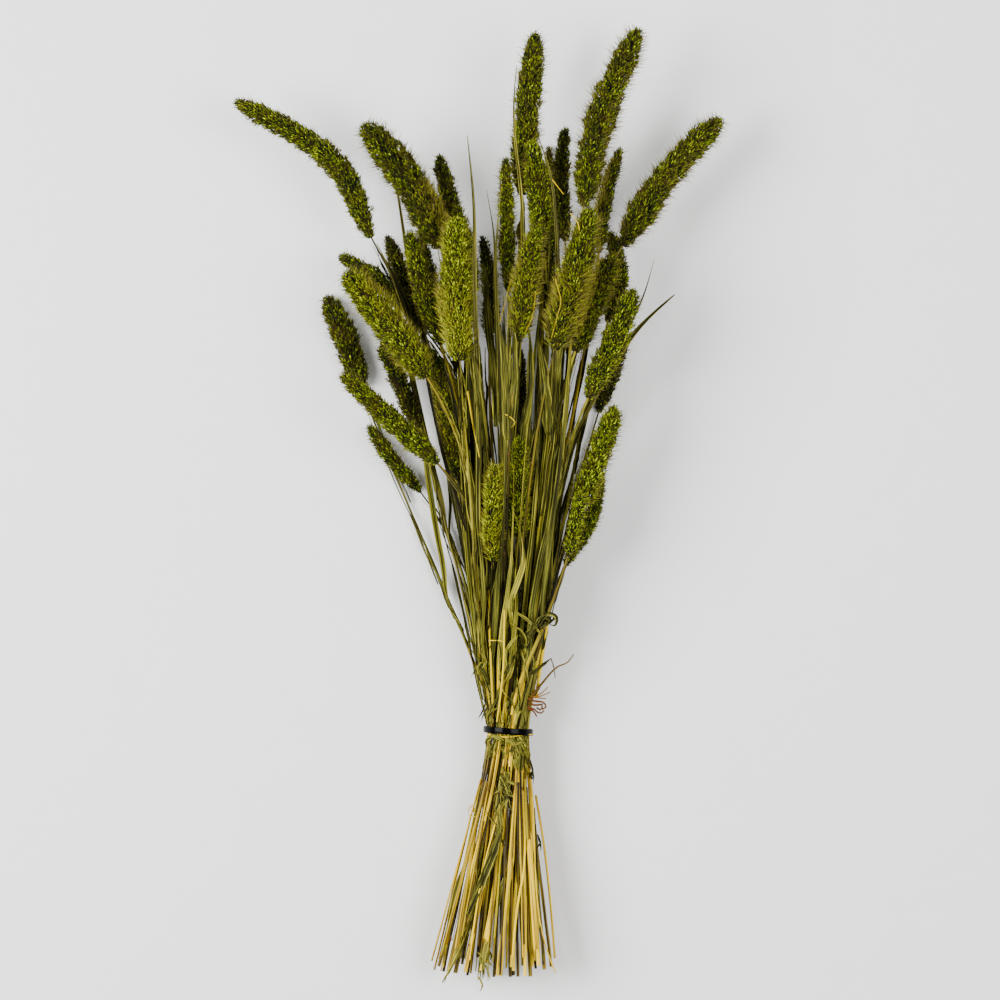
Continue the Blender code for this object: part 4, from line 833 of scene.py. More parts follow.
def leaf_blades(layout, rows):
    """Turn and half widths of each leaf at each row, held back where another strand is near."""
    rng = np.random.default_rng(SEED + 2)
    strands = layout[0]
    at = settled(layout, rows)
    radii = strand_radii(strands, rows)
    spots = [[(*at[r, n], radii[r, n], n) for n in range(len(strands)) if radii[r, n] > 0]
             for r in range(len(rows))]
    blades = {}
    for n, strand in enumerate(strands):
        if strand.culm is None:
            continue
        reach = strand.high - strand.low
        t = np.clip(from_root(strand, rows) / reach, 0, 1)
        most = strand.most_turn
        turn = (math.radians(rng.uniform(-most, most)) + math.radians(rng.uniform(-most, most)) * t
                + LEAF_WAVE * np.sin(rng.uniform(0, 6) + t * rng.uniform(3, 8)))
        full = strand.width / 2 * np.interp(t, *BLADE_PROFILE)
        half = np.stack([full, full])
        there = np.nonzero(radii[:, n] > 0)[0]
        ways = {r: np.array([math.cos(turn[r]), math.sin(turn[r])]) for r in there}
        for r in there:
            own = from_root(strand, rows[r]) < ROOT_RAMP
            for x, z, radius, other in spots[r]:
                if other == n or (other == strand.culm and own):
                    continue
                rel = np.array([x, z]) - at[r, n]
                clear = radius + LEAF_GAP + BLADE_CLEAR
                for side, sign in ((0, -1), (1, 1)):
                    along = sign * float(rel @ ways[r])
                    cut = along**2 - (rel @ rel - clear**2)
                    if along > 0 and cut > 0:
                        half[side, r] = min(half[side, r], max(along - math.sqrt(cut), 0.5))
        held = half.copy()
        held[:, 1:-1] = np.minimum(np.minimum(held[:, :-2], held[:, 2:]), held[:, 1:-1])
        half[:, 1:-1] = 0.25 * held[:, :-2] + 0.5 * held[:, 1:-1] + 0.25 * held[:, 2:]
        half = np.minimum(half, full)
        blades[n] = (turn, half)
        for r in there:
            spots[r] = [spot for spot in spots[r] if spot[3] != n]
            for f in np.linspace(-half[0, r], half[1, r], 5):
                spots[r].append((*(at[r, n] + f * ways[r]), BLADE_RADIUS, n))
    return blades


@functools.cache
def bunch():
    """The settled bunch: its layout, strands, rows and leaf blades."""
    layout = lay_out()
    rows = rows_of(layout[2])
    return SimpleNamespace(layout=layout, strands=layout[0], rows=rows,
                           blades=leaf_blades(layout, rows))


def on_strand(index, y):
    """Points and unit tangents of a settled strand at each y."""
    return strand_line(bunch().layout, index, y)


@functools.cache
def rows_across():
    """The rows, and every strand's place and radius at each, to find the top of the bunch."""
    rows = bunch().rows
    return rows, settled(bunch().layout, rows), strand_radii(bunch().strands, rows)


def top_of_bunch(x, y):
    """Height of the highest strand over a point of the plan, or of the nearest one beside it."""
    rows, at, radii = rows_across()
    y = np.clip(y, CUT_END_Y + 4, BUNCH_TOP_Y - 10)
    before, part = divmod(float(np.interp(y, rows, np.arange(len(rows)))), 1)
    r = min(int(before), len(rows) - 2)
    there = (radii[r] > 0) & (radii[r + 1] > 0)
    radius = radii[r, there]
    place = at[r, there] + (at[r + 1, there] - at[r, there]) * part
    aside = np.abs(place[:, 0] - x)
    height = place[:, 1]
    over = aside < radius
    if over.any():
        return float((height[over] + np.sqrt(radius[over]**2 - aside[over]**2)).max())
    return float(height[aside.argmin()])


# Meshes

def link(name, data):
    obj = bpy.data.objects.new(name, data)
    bpy.context.scene.collection.objects.link(obj)
    return obj


@contextmanager
def edited(mesh):
    """A mesh open for editing, written back at the end."""
    shape = bmesh.new()
    shape.from_mesh(mesh)
    yield shape
    shape.to_mesh(mesh)
    shape.free()


def make_object(name, vertices, faces, edges=(), values=None):
    """An object from vertices in millimetres, with float or vector attributes on its vertices."""
    mesh = bpy.data.meshes.new(name)
    mesh.from_pydata((np.asarray(vertices) * MM).tolist(), list(edges), list(faces))
    for title, numbers in (values or {}).items():
        numbers = np.asarray(numbers, np.float32)
        vector = numbers.ndim == 2
        attribute = mesh.attributes.new(title, "FLOAT_VECTOR" if vector else "FLOAT", "POINT")
        attribute.data.foreach_set("vector" if vector else "value", numbers.ravel())
    return link(name, mesh)


def make_lines(name, lines):
    """An object of polylines, from the points of each and the attributes on them."""
    vertices = np.concatenate([points for points, _ in lines])
    ends = {sum(len(points) for points, _ in lines[:k + 1]) - 1 for k in range(len(lines))}
    edges = [(k, k + 1) for k in range(len(vertices) - 1) if k not in ends]
    values = {title: np.concatenate([line[1][title] for line in lines]) for title in lines[0][1]}
    return make_object(name, vertices, [], edges, values)


def finish_piece(obj, nodes=(), material=None):
    """Turn faces outwards, shade smooth, and hand the piece to the frame."""
    if material:
        obj.data.materials.clear()
        obj.data.materials.append(material)
        with edited(obj.data) as shape:
            bmesh.ops.recalc_face_normals(shape, faces=shape.faces)
        obj.data.shade_smooth()
    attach(obj, BODY)
    if nodes:
        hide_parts(*nodes)


def run_along(points):
    """Distance along a line of points, from its start to each."""
    return np.concatenate([[0], np.linalg.norm(np.diff(points, axis=0), axis=1).cumsum()])


def unit(vectors):
    return vectors / np.maximum(np.linalg.norm(vectors, axis=-1, keepdims=True), 1e-9)


def turned(angle, side, up):
    """Unit vectors at an angle from the side towards up."""
    return np.cos(angle)[..., None] * side + np.sin(angle)[..., None] * up


def sheet_solid(grid, thickness):
    """Vertices and quads of a thin closed sheet round a grid of points (rows, columns, 3)."""
    normal = unit(np.cross(np.gradient(grid, axis=0), np.gradient(grid, axis=1)))
    front, back = grid + normal * thickness / 2, grid - normal * thickness / 2
    rows, columns = grid.shape[:2]
    a = np.arange(rows * columns).reshape(rows, columns)
    b = a + rows * columns
    quads = [np.stack([a[:-1, :-1], a[1:, :-1], a[1:, 1:], a[:-1, 1:]], -1),
             np.stack([b[:-1, :-1], b[:-1, 1:], b[1:, 1:], b[1:, :-1]], -1)]
    rims = [(a[:, 0], b[:, 0]), (b[:, -1], a[:, -1]), (b[0, :], a[0, :]), (a[-1, :], b[-1, :])]
    for one, other in rims:
        quads.append(np.stack([one[1:], one[:-1], other[:-1], other[1:]], -1))
    faces = np.concatenate([q.reshape(-1, 4) for q in quads])
    return np.concatenate([front.reshape(-1, 3), back.reshape(-1, 3)]), faces


class Sheets:
    """Thin closed sheets gathered into one piece, with the attributes that their finish reads."""

    def __init__(self):
        self.vertices, self.faces, self.count = [], [], 0
        self.values = dict(grain=[], tone=[], green=[], edge=[])

    def add(self, grid, thickness, tone, green):
        """A sheet over a grid; its finish follows millimetres across and along the grid."""
        grid = np.maximum(grid, [-np.inf, -np.inf, thickness])
        vertices, faces = sheet_solid(grid, thickness)
        across = np.linalg.norm(np.diff(grid, axis=1), axis=2).cumsum(1)
        across = np.column_stack([np.zeros(len(grid)), across])
        across -= across[:, -1:] / 2
        along = np.broadcast_to(run_along(grid.mean(1))[:, None], across.shape)
        grain = np.stack([across, along, np.full(across.shape, GRAIN_APART * len(self.faces))], -1)
        edge = np.abs(across) / np.maximum(across[:, -1:], 0.1)
        self.vertices.append(vertices)
        self.faces.append(faces + self.count)
        self.values["grain"].append(np.tile(grain.reshape(-1, 3), (2, 1)))
        self.values["edge"].append(np.tile(edge.ravel(), 2))
        for title, value in (("tone", tone), ("green", green)):
            self.values[title].append(np.full(len(vertices), value))
        self.count += len(vertices)

    def make(self, name):
        values = {title: np.concatenate(rows) for title, rows in self.values.items()}
        return make_object(name, np.concatenate(self.vertices),
                           np.concatenate(self.faces).tolist(), values=values)


def wander(rng, t, most=5.0):
    """A smooth random curve over t, roughly within -1 and 1."""
    total = np.zeros(np.shape(t))
    for _ in range(WAVES):
        total += rng.uniform(0.3, 1) * np.sin(rng.uniform(0, TURN)
                                              + np.asarray(t) * rng.uniform(1, most) * math.pi)
    return total / (0.65 * WAVES)


# Node trees

def node(tree, kind, sockets=None, **settings):
    """Add a node, and set its properties and the inputs named by their identifiers.

    An input takes a value, a socket, or a node, which stands for its first output.
    """
    made = tree.nodes.new(kind)
    for title, value in settings.items():
        setattr(made, title, value)
    for identifier, value in (sockets or {}).items():
        socket = next(s for s in made.inputs if s.identifier == identifier)
        value = value.outputs[0] if isinstance(value, bpy.types.Node) else value
        if isinstance(value, bpy.types.NodeSocket):
            tree.links.new(value, socket)
        else:
            socket.default_value = value
    return made


def geometry_tree(name, inputs):
    """A geometry node tree with named inputs, its given sockets and its output node."""
    tree = bpy.data.node_groups.new(name, "GeometryNodeTree")
    tree.interface.new_socket("Geometry", in_out="OUTPUT", socket_type="NodeSocketGeometry")
    for title, kind in {"Geometry": "Geometry", **inputs}.items():
        tree.interface.new_socket(title, in_out="INPUT", socket_type="NodeSocket" + kind)
    return tree, tree.nodes.new("NodeGroupInput").outputs, tree.nodes.new("NodeGroupOutput")


def named(tree, title, kind="FLOAT"):
    return node(tree, "GeometryNodeInputNamedAttribute", dict(Name=title), data_type=kind)


def apply_tree(obj, tree, values):
    """Run a geometry node tree on an object and keep the result as its plain mesh."""
    modifier = obj.modifiers.new(tree.name, "NODES")
    modifier.node_group = tree
    for item in tree.interface.items_tree:
        if item.item_type == "SOCKET" and item.in_out == "INPUT" and item.name in values:
            modifier[item.identifier] = values[item.name]
    evaluated = obj.evaluated_get(bpy.context.evaluated_depsgraph_get())
    mesh = bpy.data.meshes.new_from_object(evaluated)
    obj.modifiers.clear()
    obj.data = mesh
    mesh.name = obj.name


def finish_tree(tree, geometry, given, out):
    """End a tree in Realize Instances and Set Material, with nothing below the surface."""
    real = node(tree, "GeometryNodeRealizeInstances", dict(Geometry=geometry))
    place = node(tree, "ShaderNodeVectorMath", dict(
        Vector=node(tree, "GeometryNodeInputPosition"),
        Vector_001=(-FAR_OUT, -FAR_OUT, LOWEST * MM)), operation="MAXIMUM")
    lifted = node(tree, "GeometryNodeSetPosition", dict(Geometry=real, Position=place))
    painted = node(tree, "GeometryNodeSetMaterial",
                   dict(Geometry=lifted, Material=given["Material"]))
    tree.links.new(painted.outputs[0], out.inputs[0])


def circle(tree, sides):
    return node(tree, "GeometryNodeCurvePrimitiveCircle", dict(Resolution=sides, Radius=1.0))


def swept(tree, lines, profile):
    """A smooth tube along polylines, as thick as their radius attribute says."""
    line = node(tree, "GeometryNodeMeshToCurve", dict(Mesh=lines))
    tube = node(tree, "GeometryNodeCurveToMesh", {
        "Curve": line, "Profile Curve": profile, "Scale": named(tree, "radius"),
        "Fill Caps": True})
    return node(tree, "GeometryNodeSetShadeSmooth", dict(Geometry=tube))


def tube_tree():
    """Tubes along polylines, whose ends are bored out as a cut straw's are, the bore marked for
    painted shade.
    """
    tree, given, out = geometry_tree("Straws along lines", dict(
        Sides="Int", Bore="Float", Depth="Float", Material="Material"))
    marked = node(tree, "GeometryNodeStoreNamedAttribute", dict(
        Geometry=circle(tree, given["Sides"]), Name="ring",
        Value=node(tree, "GeometryNodeInputPosition")), data_type="FLOAT_VECTOR", domain="POINT")
    tube = swept(tree, given["Geometry"], marked)
    corners = node(tree, "GeometryNodeInputMeshFaceNeighbors")
    ends = node(tree, "FunctionNodeCompare", dict(A_INT=corners, B_INT=4), data_type="INT",
                operation="GREATER_THAN")
    rim = node(tree, "GeometryNodeExtrudeMesh", {
        "Mesh": tube, "Selection": ends, "Offset Scale": 0.0, "Individual": True}, mode="FACES")
    bored = node(tree, "GeometryNodeScaleElements", dict(
        Geometry=rim.outputs["Mesh"], Selection=rim.outputs["Top"], Scale=given["Bore"]))
    deep = node(tree, "GeometryNodeExtrudeMesh", {
        "Mesh": bored, "Selection": rim.outputs["Top"],
        "Offset Scale": given["Depth"], "Individual": True}, mode="FACES")
    inside = node(tree, "FunctionNodeBooleanMath", {
        "Boolean": deep.outputs["Top"], "Boolean_001": deep.outputs["Side"]}, operation="OR")
    # The faces inside the bore are marked hollow, which the straw finish paints dark as painted
    # shade.
    dark = node(tree, "GeometryNodeStoreNamedAttribute", dict(
        Geometry=deep.outputs["Mesh"], Selection=inside, Name="hollow", Value=1.0),
        data_type="FLOAT", domain="FACE")
    finish_tree(tree, dark, given, out)
    return tree


def pointing(tree, title):
    """The rotation that turns Z along a named direction."""
    return node(tree, "FunctionNodeAlignRotationToVector",
                dict(Vector=named(tree, title, "FLOAT_VECTOR")), axis="Z")


def seed_head_tree():
    """Lobes, spikelets and bristles on a head's points, round the spindle along its line."""
    tree, given, out = geometry_tree("Seed head", {
        "Lobe": "Object", "Spikelet": "Object", "Bristle": "Object", "Spindle sides": "Int",
        "Seed": "Int", "Material": "Material"})
    spindle = swept(tree, given["Geometry"], circle(tree, given["Spindle sides"]))
    spin = node(tree, "FunctionNodeRandomValue",
                dict(Min_001=0.0, Max_001=TURN, Seed=given["Seed"]), data_type="FLOAT")
    spin = node(tree, "FunctionNodeAxisAngleToRotation",
                dict(Axis=(0, 0, 1), Angle=spin.outputs[1]))
    spun = node(tree, "FunctionNodeRotateRotation",
                {"Rotation": pointing(tree, "aim"), "Rotate By": spin}, rotation_space="LOCAL")
    thick = sums(tree, sums(tree, named(tree, "straw"), 1.5, "MULTIPLY"), 1.0)
    hair_scale = node(tree, "ShaderNodeCombineXYZ",
                      dict(X=thick, Y=thick, Z=named(tree, "bristle")))
    kinds = [("Lobe", "lobe", pointing(tree, "aim"), named(tree, "lobe")),
             ("Spikelet", "size", spun, named(tree, "size")),
             ("Bristle", "bristle", pointing(tree, "sweep"), hair_scale)]
    parts = [spindle]
    for source, title, rotation, scale in kinds:
        pattern = node(tree, "GeometryNodeObjectInfo", dict(Object=given[source]))
        above_none = node(tree, "FunctionNodeCompare", dict(A=named(tree, title), B=0.0),
                          data_type="FLOAT", operation="GREATER_THAN")
        parts.append(node(tree, "GeometryNodeInstanceOnPoints", dict(
            Points=given["Geometry"], Selection=above_none,
            Instance=pattern.outputs["Geometry"], Rotation=rotation, Scale=scale)))
    joined = node(tree, "GeometryNodeJoinGeometry")
    for part in parts:
        tree.links.new(part.outputs[0], joined.inputs[0])
    finish_tree(tree, joined, given, out)
    return tree


# Materials

def linear(red, green, blue):
    """A colour read as sRGB values from 0 to 255, as the linear values that shaders take."""
    def channel(value):
        value /= 255
        return value / 12.92 if value < 0.04 else ((value + 0.055) / 1.055)**2.4
    return tuple(channel(value) for value in (red, green, blue))


def new_material(name, roughness, specular=0.5):
    """A material with its tree and its Principled surface node."""
    material = bpy.data.materials.new(name)
    material.use_nodes = True
    tree = material.node_tree
    surface = tree.nodes["Principled BSDF"]
    surface.inputs["Roughness"].default_value = roughness
    surface.inputs["Specular IOR Level"].default_value = specular
    return material, tree, surface


def values_of(tree, *titles):
    """The sockets of several float attributes."""
    return [node(tree, "ShaderNodeAttribute", attribute_name=t).outputs["Fac"] for t in titles]


def vector_of(tree, title):
    return node(tree, "ShaderNodeAttribute", attribute_name=title).outputs["Vector"]


def object_place(tree):
    return node(tree, "ShaderNodeTexCoord").outputs["Object"]


def ramp(tree, factor, stops):
    """The colour of a ramp whose colours are given by their positions."""
    made = node(tree, "ShaderNodeValToRGB", dict(Fac=factor))
    colours = made.color_ramp.elements
    while len(colours) < len(stops):
        colours.new(0.5)
    for element, (position, colour) in zip(colours, stops.items()):
        element.position = position
        element.color = (*colour, 1.0)
    return made.outputs["Color"]


def noise(tree, vector, scale, detail=3.0):
    return node(tree, "ShaderNodeTexNoise", dict(
        Vector=vector, Scale=scale, Detail=detail, Roughness=0.6)).outputs["Fac"]


def stretch(tree, vector, scale):
    """A vector times a scale along each axis."""
    return node(tree, "ShaderNodeVectorMath", dict(Vector=vector, Vector_001=scale),
                operation="MULTIPLY")


def streaks(tree, vector, scale, detail=3.0):
    """Noise that is drawn out by a scale along each axis."""
    return noise(tree, stretch(tree, vector, scale), 1.0, detail)


def mix(tree, factor, first, second, blend="MIX"):
    """Two colours mixed by a factor; each is a socket or a linear colour."""
    first, second = (colour if isinstance(colour, bpy.types.NodeSocket) else (*colour, 1.0)
                     for colour in (first, second))
    made = node(tree, "ShaderNodeMix", dict(Factor_Float=factor, A_Color=first, B_Color=second),
                data_type="RGBA", blend_type=blend)
    return next(s for s in made.outputs if s.identifier == "Result_Color")


def sums(tree, first, second, operation="ADD", clamp=False):
    return node(tree, "ShaderNodeMath", {"Value": first, "Value_001": second},
                operation=operation, use_clamp=clamp)


def remap(tree, value, low, high, new_low=0.0, new_high=1.0):
    return node(tree, "ShaderNodeMapRange", {
        "Value": value, "From Min": low, "From Max": high, "To Min": new_low,
        "To Max": new_high}).outputs[0]


def bump(tree, height, strength, distance, surface):
    made = node(tree, "ShaderNodeBump", dict(Height=height, Strength=strength, Distance=distance))
    tree.links.new(made.outputs[0], surface.inputs["Normal"])


def head_material(settings):
    """Spikelets from dark to yellow green, gold where the bristles are brushed together, and darker
    towards their bases as painted shade.
    """
    material, tree, surface = new_material("setaria_head", 0.62, 0.1)
    shade, straw, tip, hair = values_of(tree, "shade", "straw", "tip", "hair")
    place = object_place(tree)
    speckle = noise(tree, place, settings.speckle, 2.0)
    blush = noise(tree, place, settings.blush, 2.0)
    value = sums(tree, shade, remap(tree, speckle, 0.33, 0.67, -0.34, 0.26))
    # Painted shade: darker towards the base of each spikelet and lobe, deep among them; lighter
    # towards the tip.
    value = sums(tree, value, remap(tree, tip, 0.0, 1.0, -0.5, 0.22), clamp=True)
    grain = ramp(tree, value, {0.0: linear(10, 12, 2), 0.3: linear(46, 54, 4),
                               0.55: settings.green, 0.8: settings.yellow_green,
                               1.0: linear(190, 208, 30)})
    grain = mix(tree, remap(tree, blush, 0.45, 0.75, 0.0, 0.3), grain, settings.brown)
    gold = ramp(tree, value, {0.0: linear(48, 38, 8), 0.45: linear(104, 92, 20),
                              1.0: settings.bristle_straw})
    grain = mix(tree, straw, grain, gold)
    hairs = mix(tree, remap(tree, straw, 0.04, 0.25), settings.bristle_brown,
                settings.bristle_straw)
    bristle = mix(tree, remap(tree, tip, 0.2, 1.0, 0.15, 0.9), grain, hairs)
    tree.links.new(mix(tree, hair, grain, bristle), surface.inputs["Base Color"])
    return material


def straw_material(settings):
    """Straws: golden below the tie and green above it, streaked, with brown knots, and painted
    shade inside the bore of their cut ends.
    """
    material, tree, surface = new_material("setaria_straw", 0.4, 0.1)
    tone, green, knot, hollow, along = values_of(tree, "tone", "green", "knot", "hollow", "along")
    ring = stretch(tree, vector_of(tree, "ring"), (1.0, 1.0, 0.0))
    place = node(tree, "ShaderNodeCombineXYZ", dict(X=0.0, Y=0.0, Z=along))
    place = node(tree, "ShaderNodeVectorMath", dict(Vector=place, Vector_001=ring))
    streak = streaks(tree, place, (1.5, 1.5, 0.012))
    patch = streaks(tree, place, (0.3, 3.0, 0.035))
    value = sums(tree, sums(tree, tone, remap(tree, streak, 0.36, 0.64, -0.42, 0.3)),
                 remap(tree, patch, 0.3, 0.7, -0.18, 0.18), clamp=True)
    yellow = ramp(tree, value, {0.0: linear(34, 24, 6), 0.3: linear(128, 98, 16),
                                0.55: settings.straw, 1.0: linear(255, 220, 14)})
    greens = ramp(tree, value, {0.0: linear(20, 18, 6), 0.35: linear(68, 64, 16),
                                0.7: settings.stem_green, 1.0: linear(152, 144, 32)})
    colour = mix(tree, green, yellow, greens)
    colour = mix(tree, knot, colour, settings.knot)
    # Painted shade inside the bore: the hollow faces are painted dark brown.
    colour = mix(tree, hollow, colour, linear(64, 52, 22))
    tree.links.new(colour, surface.inputs["Base Color"])
    tree.links.new(remap(tree, streak, 0.3, 0.7, 0.32, 0.5), surface.inputs["Roughness"])
    bump(tree, streaks(tree, place, (7.0, 7.0, 0.03), 2.0), 0.35, 0.00025, surface)
    return material


def leaf_material(settings):
    """Dry leaf: striped along its veins, dark olive to tan, with pale edges, greener by leaf."""
    material, tree, surface = new_material("setaria_leaf", 0.6, 0.07)
    tone, green, edge = values_of(tree, "tone", "green", "edge")
    grain = vector_of(tree, "grain")
    streak = streaks(tree, grain, (0.8, 0.01, 1.0))
    patch = streaks(tree, grain, (0.18, 0.03, 1.0))
    vein = streaks(tree, grain, (1.7, 0.006, 1.0), 1.0)
    value = sums(tree, sums(tree, tone, remap(tree, streak, 0.34, 0.66, -0.42, 0.42)),
                 remap(tree, patch, 0.3, 0.7, -0.18, 0.18))
    value = sums(tree, value, remap(tree, edge, 0.75, 1.0, 0.0, 0.3), clamp=True)
    olive = ramp(tree, value, {0.0: linear(17, 14, 6), 0.3: linear(52, 46, 17),
                               0.55: settings.olive, 0.8: linear(126, 122, 46),
                               1.0: settings.tan})
    greens = ramp(tree, value, {0.0: linear(22, 22, 6), 0.4: linear(70, 73, 20),
                                0.75: linear(124, 125, 38), 1.0: linear(182, 178, 60)})
    colour = mix(tree, green, olive, greens)
    colour = mix(tree, remap(tree, vein, 0.46, 0.58, 0.0, 0.85), colour,
                 linear(88, 86, 34), "MULTIPLY")
    tree.links.new(colour, surface.inputs["Base Color"])
    bump(tree, vein, 0.6, 0.0003, surface)
    return material


def tie_material(settings):
    """Smooth black nylon with faint flow marks."""
    material, tree, surface = new_material("setaria_tie", 0.16, 0.05)
    flow = noise(tree, object_place(tree), 900.0)
    tree.links.new(mix(tree, remap(tree, flow, 0.3, 0.7), settings.black,
                       linear(4, 4, 5)), surface.inputs["Base Color"])
    tree.links.new(remap(tree, flow, 0.3, 0.7, 0.12, 0.2), surface.inputs["Roughness"])
    bump(tree, flow, 0.1, 0.0001, surface)
    return material


def floor_material(settings):
    """Pale matt board with a very slight grain."""
    material, tree, surface = new_material("pale_floor", 0.9, 0.2)
    grain = noise(tree, object_place(tree), 40.0, 2.0)
    tree.links.new(mix(tree, grain, settings.floor, tuple(0.97 * c for c in settings.floor)),
                   surface.inputs["Base Color"])
    return material


# Straws

def straw_knots(rng, strand):
    """Where a straw's knots are: a few below the tie and a few hidden among the leaves."""
    places = [rng.uniform(*KNOTS_BELOW)] if rng.random() < KNOT_CHANCE else []
    y = rng.uniform(*KNOTS_ABOVE)
    while y < strand.top - 40:
        places.append(y)
        y += rng.uniform(*KNOT_STEP)
    return places


def buried(index, y):
    """How deep a strand lies below its neighbours at y, from 0 near their top to 1 well inside."""
    x, _, z = on_strand(index, np.array([y]))[0][0]
    top = max(top_of_bunch(x + aside, y) for aside in (-BURIED_REACH, 0, BURIED_REACH))
    return float(np.clip((top - z - BURIED_FROM) / BURIED_DEPTH, 0, 1))


@functools.cache
def thinned():
    """Each straw's share of its solid's thickness."""
    return np.random.default_rng(SEED + 5).uniform(*THINNED, CULM_COUNT)


def straw_line(rng, index):
    """Centre line of a straw with its radius and finish, finer round each knot."""
    strand = bunch().strands[index]
    low, top = strand.low, strand.top
    knots = straw_knots(rng, strand)
    y = np.arange(low, top + TOUCHING_GAP, STRAW_STEP)
    close = [place + row for place in knots for row in KNOT_ROWS]
    y = np.unique(np.concatenate([y, [c for c in close if low + 3 < c < top]]))
    y = np.append(y[y < top - 1], top + HEAD_OVERLAP * bool(strand.head))
    points, _ = on_strand(index, y)
    for axis in (0, 2):
        points[:, axis] += wander(rng, y / STRAW_WAVE) * STRAW_WOBBLE
    knot = np.zeros(len(y))
    for place in knots:
        knot = np.maximum(knot, np.exp(-((y - place) / KNOT_LENGTH)**2))
    share = thinned()[index] + 0.05 * wander(rng, y / THICKNESS_WAVE)
    radius = culm_radius(strand, y) * share + KNOT_RISE * knot
    # Painted shade: straws that lie buried among the others are darker and greener.
    inside = np.interp(y, y[::3], [buried(index, k) for k in y[::3]])
    dim = (DIM_ABOVE + BARE_DIM * (index in BARE_ABOVE)) * np.clip((y - TIE_Y) / 100, 0, 1)
    tone = np.clip(rng.normal(*STRAW_TONE) - BURIED_PAINTED_SHADE * inside - dim, 0.0, 1)
    turn = TIE_Y + rng.uniform(*GREEN_FROM)
    green = np.clip((y - turn) / rng.uniform(*GREEN_OVER), 0, 1) * rng.uniform(0.7, 1)
    green = np.maximum(green, BURIED_SHADE_GREEN * inside)
    if rng.random() < GREEN_STRAW_CHANCE:
        green = np.maximum(green, rng.uniform(*GREEN_STRAW))
    knot = knot * (1 - 0.8 * np.clip((y - TIE_Y) / 40, 0, 1))
    return points, dict(radius=radius * MM, tone=tone, green=green,
                        knot=np.clip(knot * 1.2, 0, 1), along=y)


# Leaves

def add_blade(rng, sheets, points, tangent, turn, halves, fold, tone, green):
    """Add a leaf blade, folded along its midrib, pleated along its veins, rippled and twisted."""
    side, up = side_and_up(tangent)
    left, right = halves
    out, normal = turned(turn, side, up), turned(turn, up, -side)
    pleats = int(np.clip((left + right).max() / PLEAT_WIDTH / 2, 2, 5))
    f = np.linspace(-1, 1, 2 * pleats + 1)
    half = np.where(f < 0, left[:, None], right[:, None]) / np.sqrt(1 + 0.8 * fold[:, None]**2)
    t = np.linspace(0, 1, len(points))
    ripple = np.sin(f * 4.7 + wander(rng, t * 2)[:, None] * 2.5) * LEAF_RIPPLE
    pleat = np.where(np.arange(len(f)) % 2, 0.5, -0.5) * rng.uniform(0.4, 1.2, len(f)) * PLEAT_DEPTH
    rise = (np.abs(f) * fold[:, None] + ripple) * half + pleat * np.minimum(half / 1.2, 1)
    curl = wander(rng, t, most=8)[:, None] * 0.3 * f**2 * half
    grid = (points[:, None] + (f * half)[..., None] * out[:, None]
            + (rise + curl)[..., None] * normal[:, None])
    sheets.add(grid, LEAF_THICKNESS, tone, green)


def grown_leaf(rng, sheets, index, tone, green):
    """One of the bunch's own leaves, on the line and within the width of its solid."""
    strand, rows = bunch().strands[index], bunch().rows
    turn, half = bunch().blades[index]
    reach = strand.high - strand.low
    y = np.linspace(strand.low, strand.high, max(12, int(reach / LEAF_STEP)))
    points, tangent = on_strand(index, y)
    t = np.clip(from_root(strand, y) / reach, 0, 1)
    full = strand.width / 2 * np.interp(t, *LEAF_PROFILE)
    halves = [np.clip(np.interp(y, rows, h), LEAST_WIDTH * full, full) for h in half]
    if index in NARROW_LEAVES:
        low, high, share = NARROW_LEAVES[index]
        held = np.clip(np.minimum(y - low, high - y) / NARROW_EASE + 0.5, 0, 1)
        halves = [h * (1 - (1 - share) * held) for h in halves]
    fold = rng.uniform(*LEAF_FOLD) + 0.4 * wander(rng, t)
    add_blade(rng, sheets, points, tangent, np.interp(y, rows, turn), halves, fold, tone, green)


def clinging_leaf(rng, sheets, index, start, width, tone, green):
    """A dry leaf or sheath strip that follows a straw, just clear of it, with a torn tip."""
    strand = bunch().strands[index]
    end = min(start + rng.uniform(*CLING_LENGTH), strand.top - 5)
    if end - start < SHORTEST_CLING:
        return
    y = np.linspace(start, end, max(10, int((end - start) / LEAF_STEP)))
    t = np.linspace(0, 1, len(y))
    points, tangent = on_strand(index, y)
    angle = rng.uniform(0, TURN) + wander(rng, t) * 0.9
    away = culm_radius(strand, y) + 0.5 + 1.6 * t * rng.uniform(0, 1) + 0.5 * np.abs(wander(rng, t))
    points = points + turned(angle, *side_and_up(tangent)) * away[:, None]
    half = width * np.interp(t, *CLING_PROFILE)
    turn = angle - math.pi / 2 + wander(rng, t, most=8) * 1.3
    fold = rng.uniform(*CLING_FOLD) + 0.4 * wander(rng, t, most=8)
    add_blade(rng, sheets, points, tangent, turn, (half, half), fold, tone, green)


def sheath(rng, sheets, index, start, length, tone, green):
    """A leaf sheath wrapped most of the way round its straw, with ragged ends."""
    strand = bunch().strands[index]
    end = min(start + length, strand.top - 8)
    y = np.linspace(max(start, strand.low + 2), end, max(6, int((end - start) / SHEATH_STEP)))
    points, tangent = on_strand(index, y)
    side, up = side_and_up(tangent)
    arc = np.linspace(0, math.radians(rng.uniform(*SHEATH_ARC)), SHEATH_COLUMNS)
    arc = arc + rng.uniform(0, TURN)
    radius = culm_radius(strand, y) * thinned()[index] + SHEATH_LIFT
    radius += 0.25 * np.abs(wander(rng, y / 40))
    t = np.linspace(0, 1, len(y))[:, None]
    across = np.linspace(-1, 1, SHEATH_COLUMNS)
    first, last = (rng.uniform(-1, 1) * SHEATH_SLANT * across + rng.uniform(-3, 3, SHEATH_COLUMNS)
                   for _ in range(2))
    ragged = first * (1 - t)**2 + last * t**2
    grid = points[:, None] + radius[:, None, None] * turned(arc, side[:, None], up[:, None])
    grid += ragged[..., None] * tangent[:, None]
    sheets.add(grid, SHEATH_THICKNESS, tone, green)


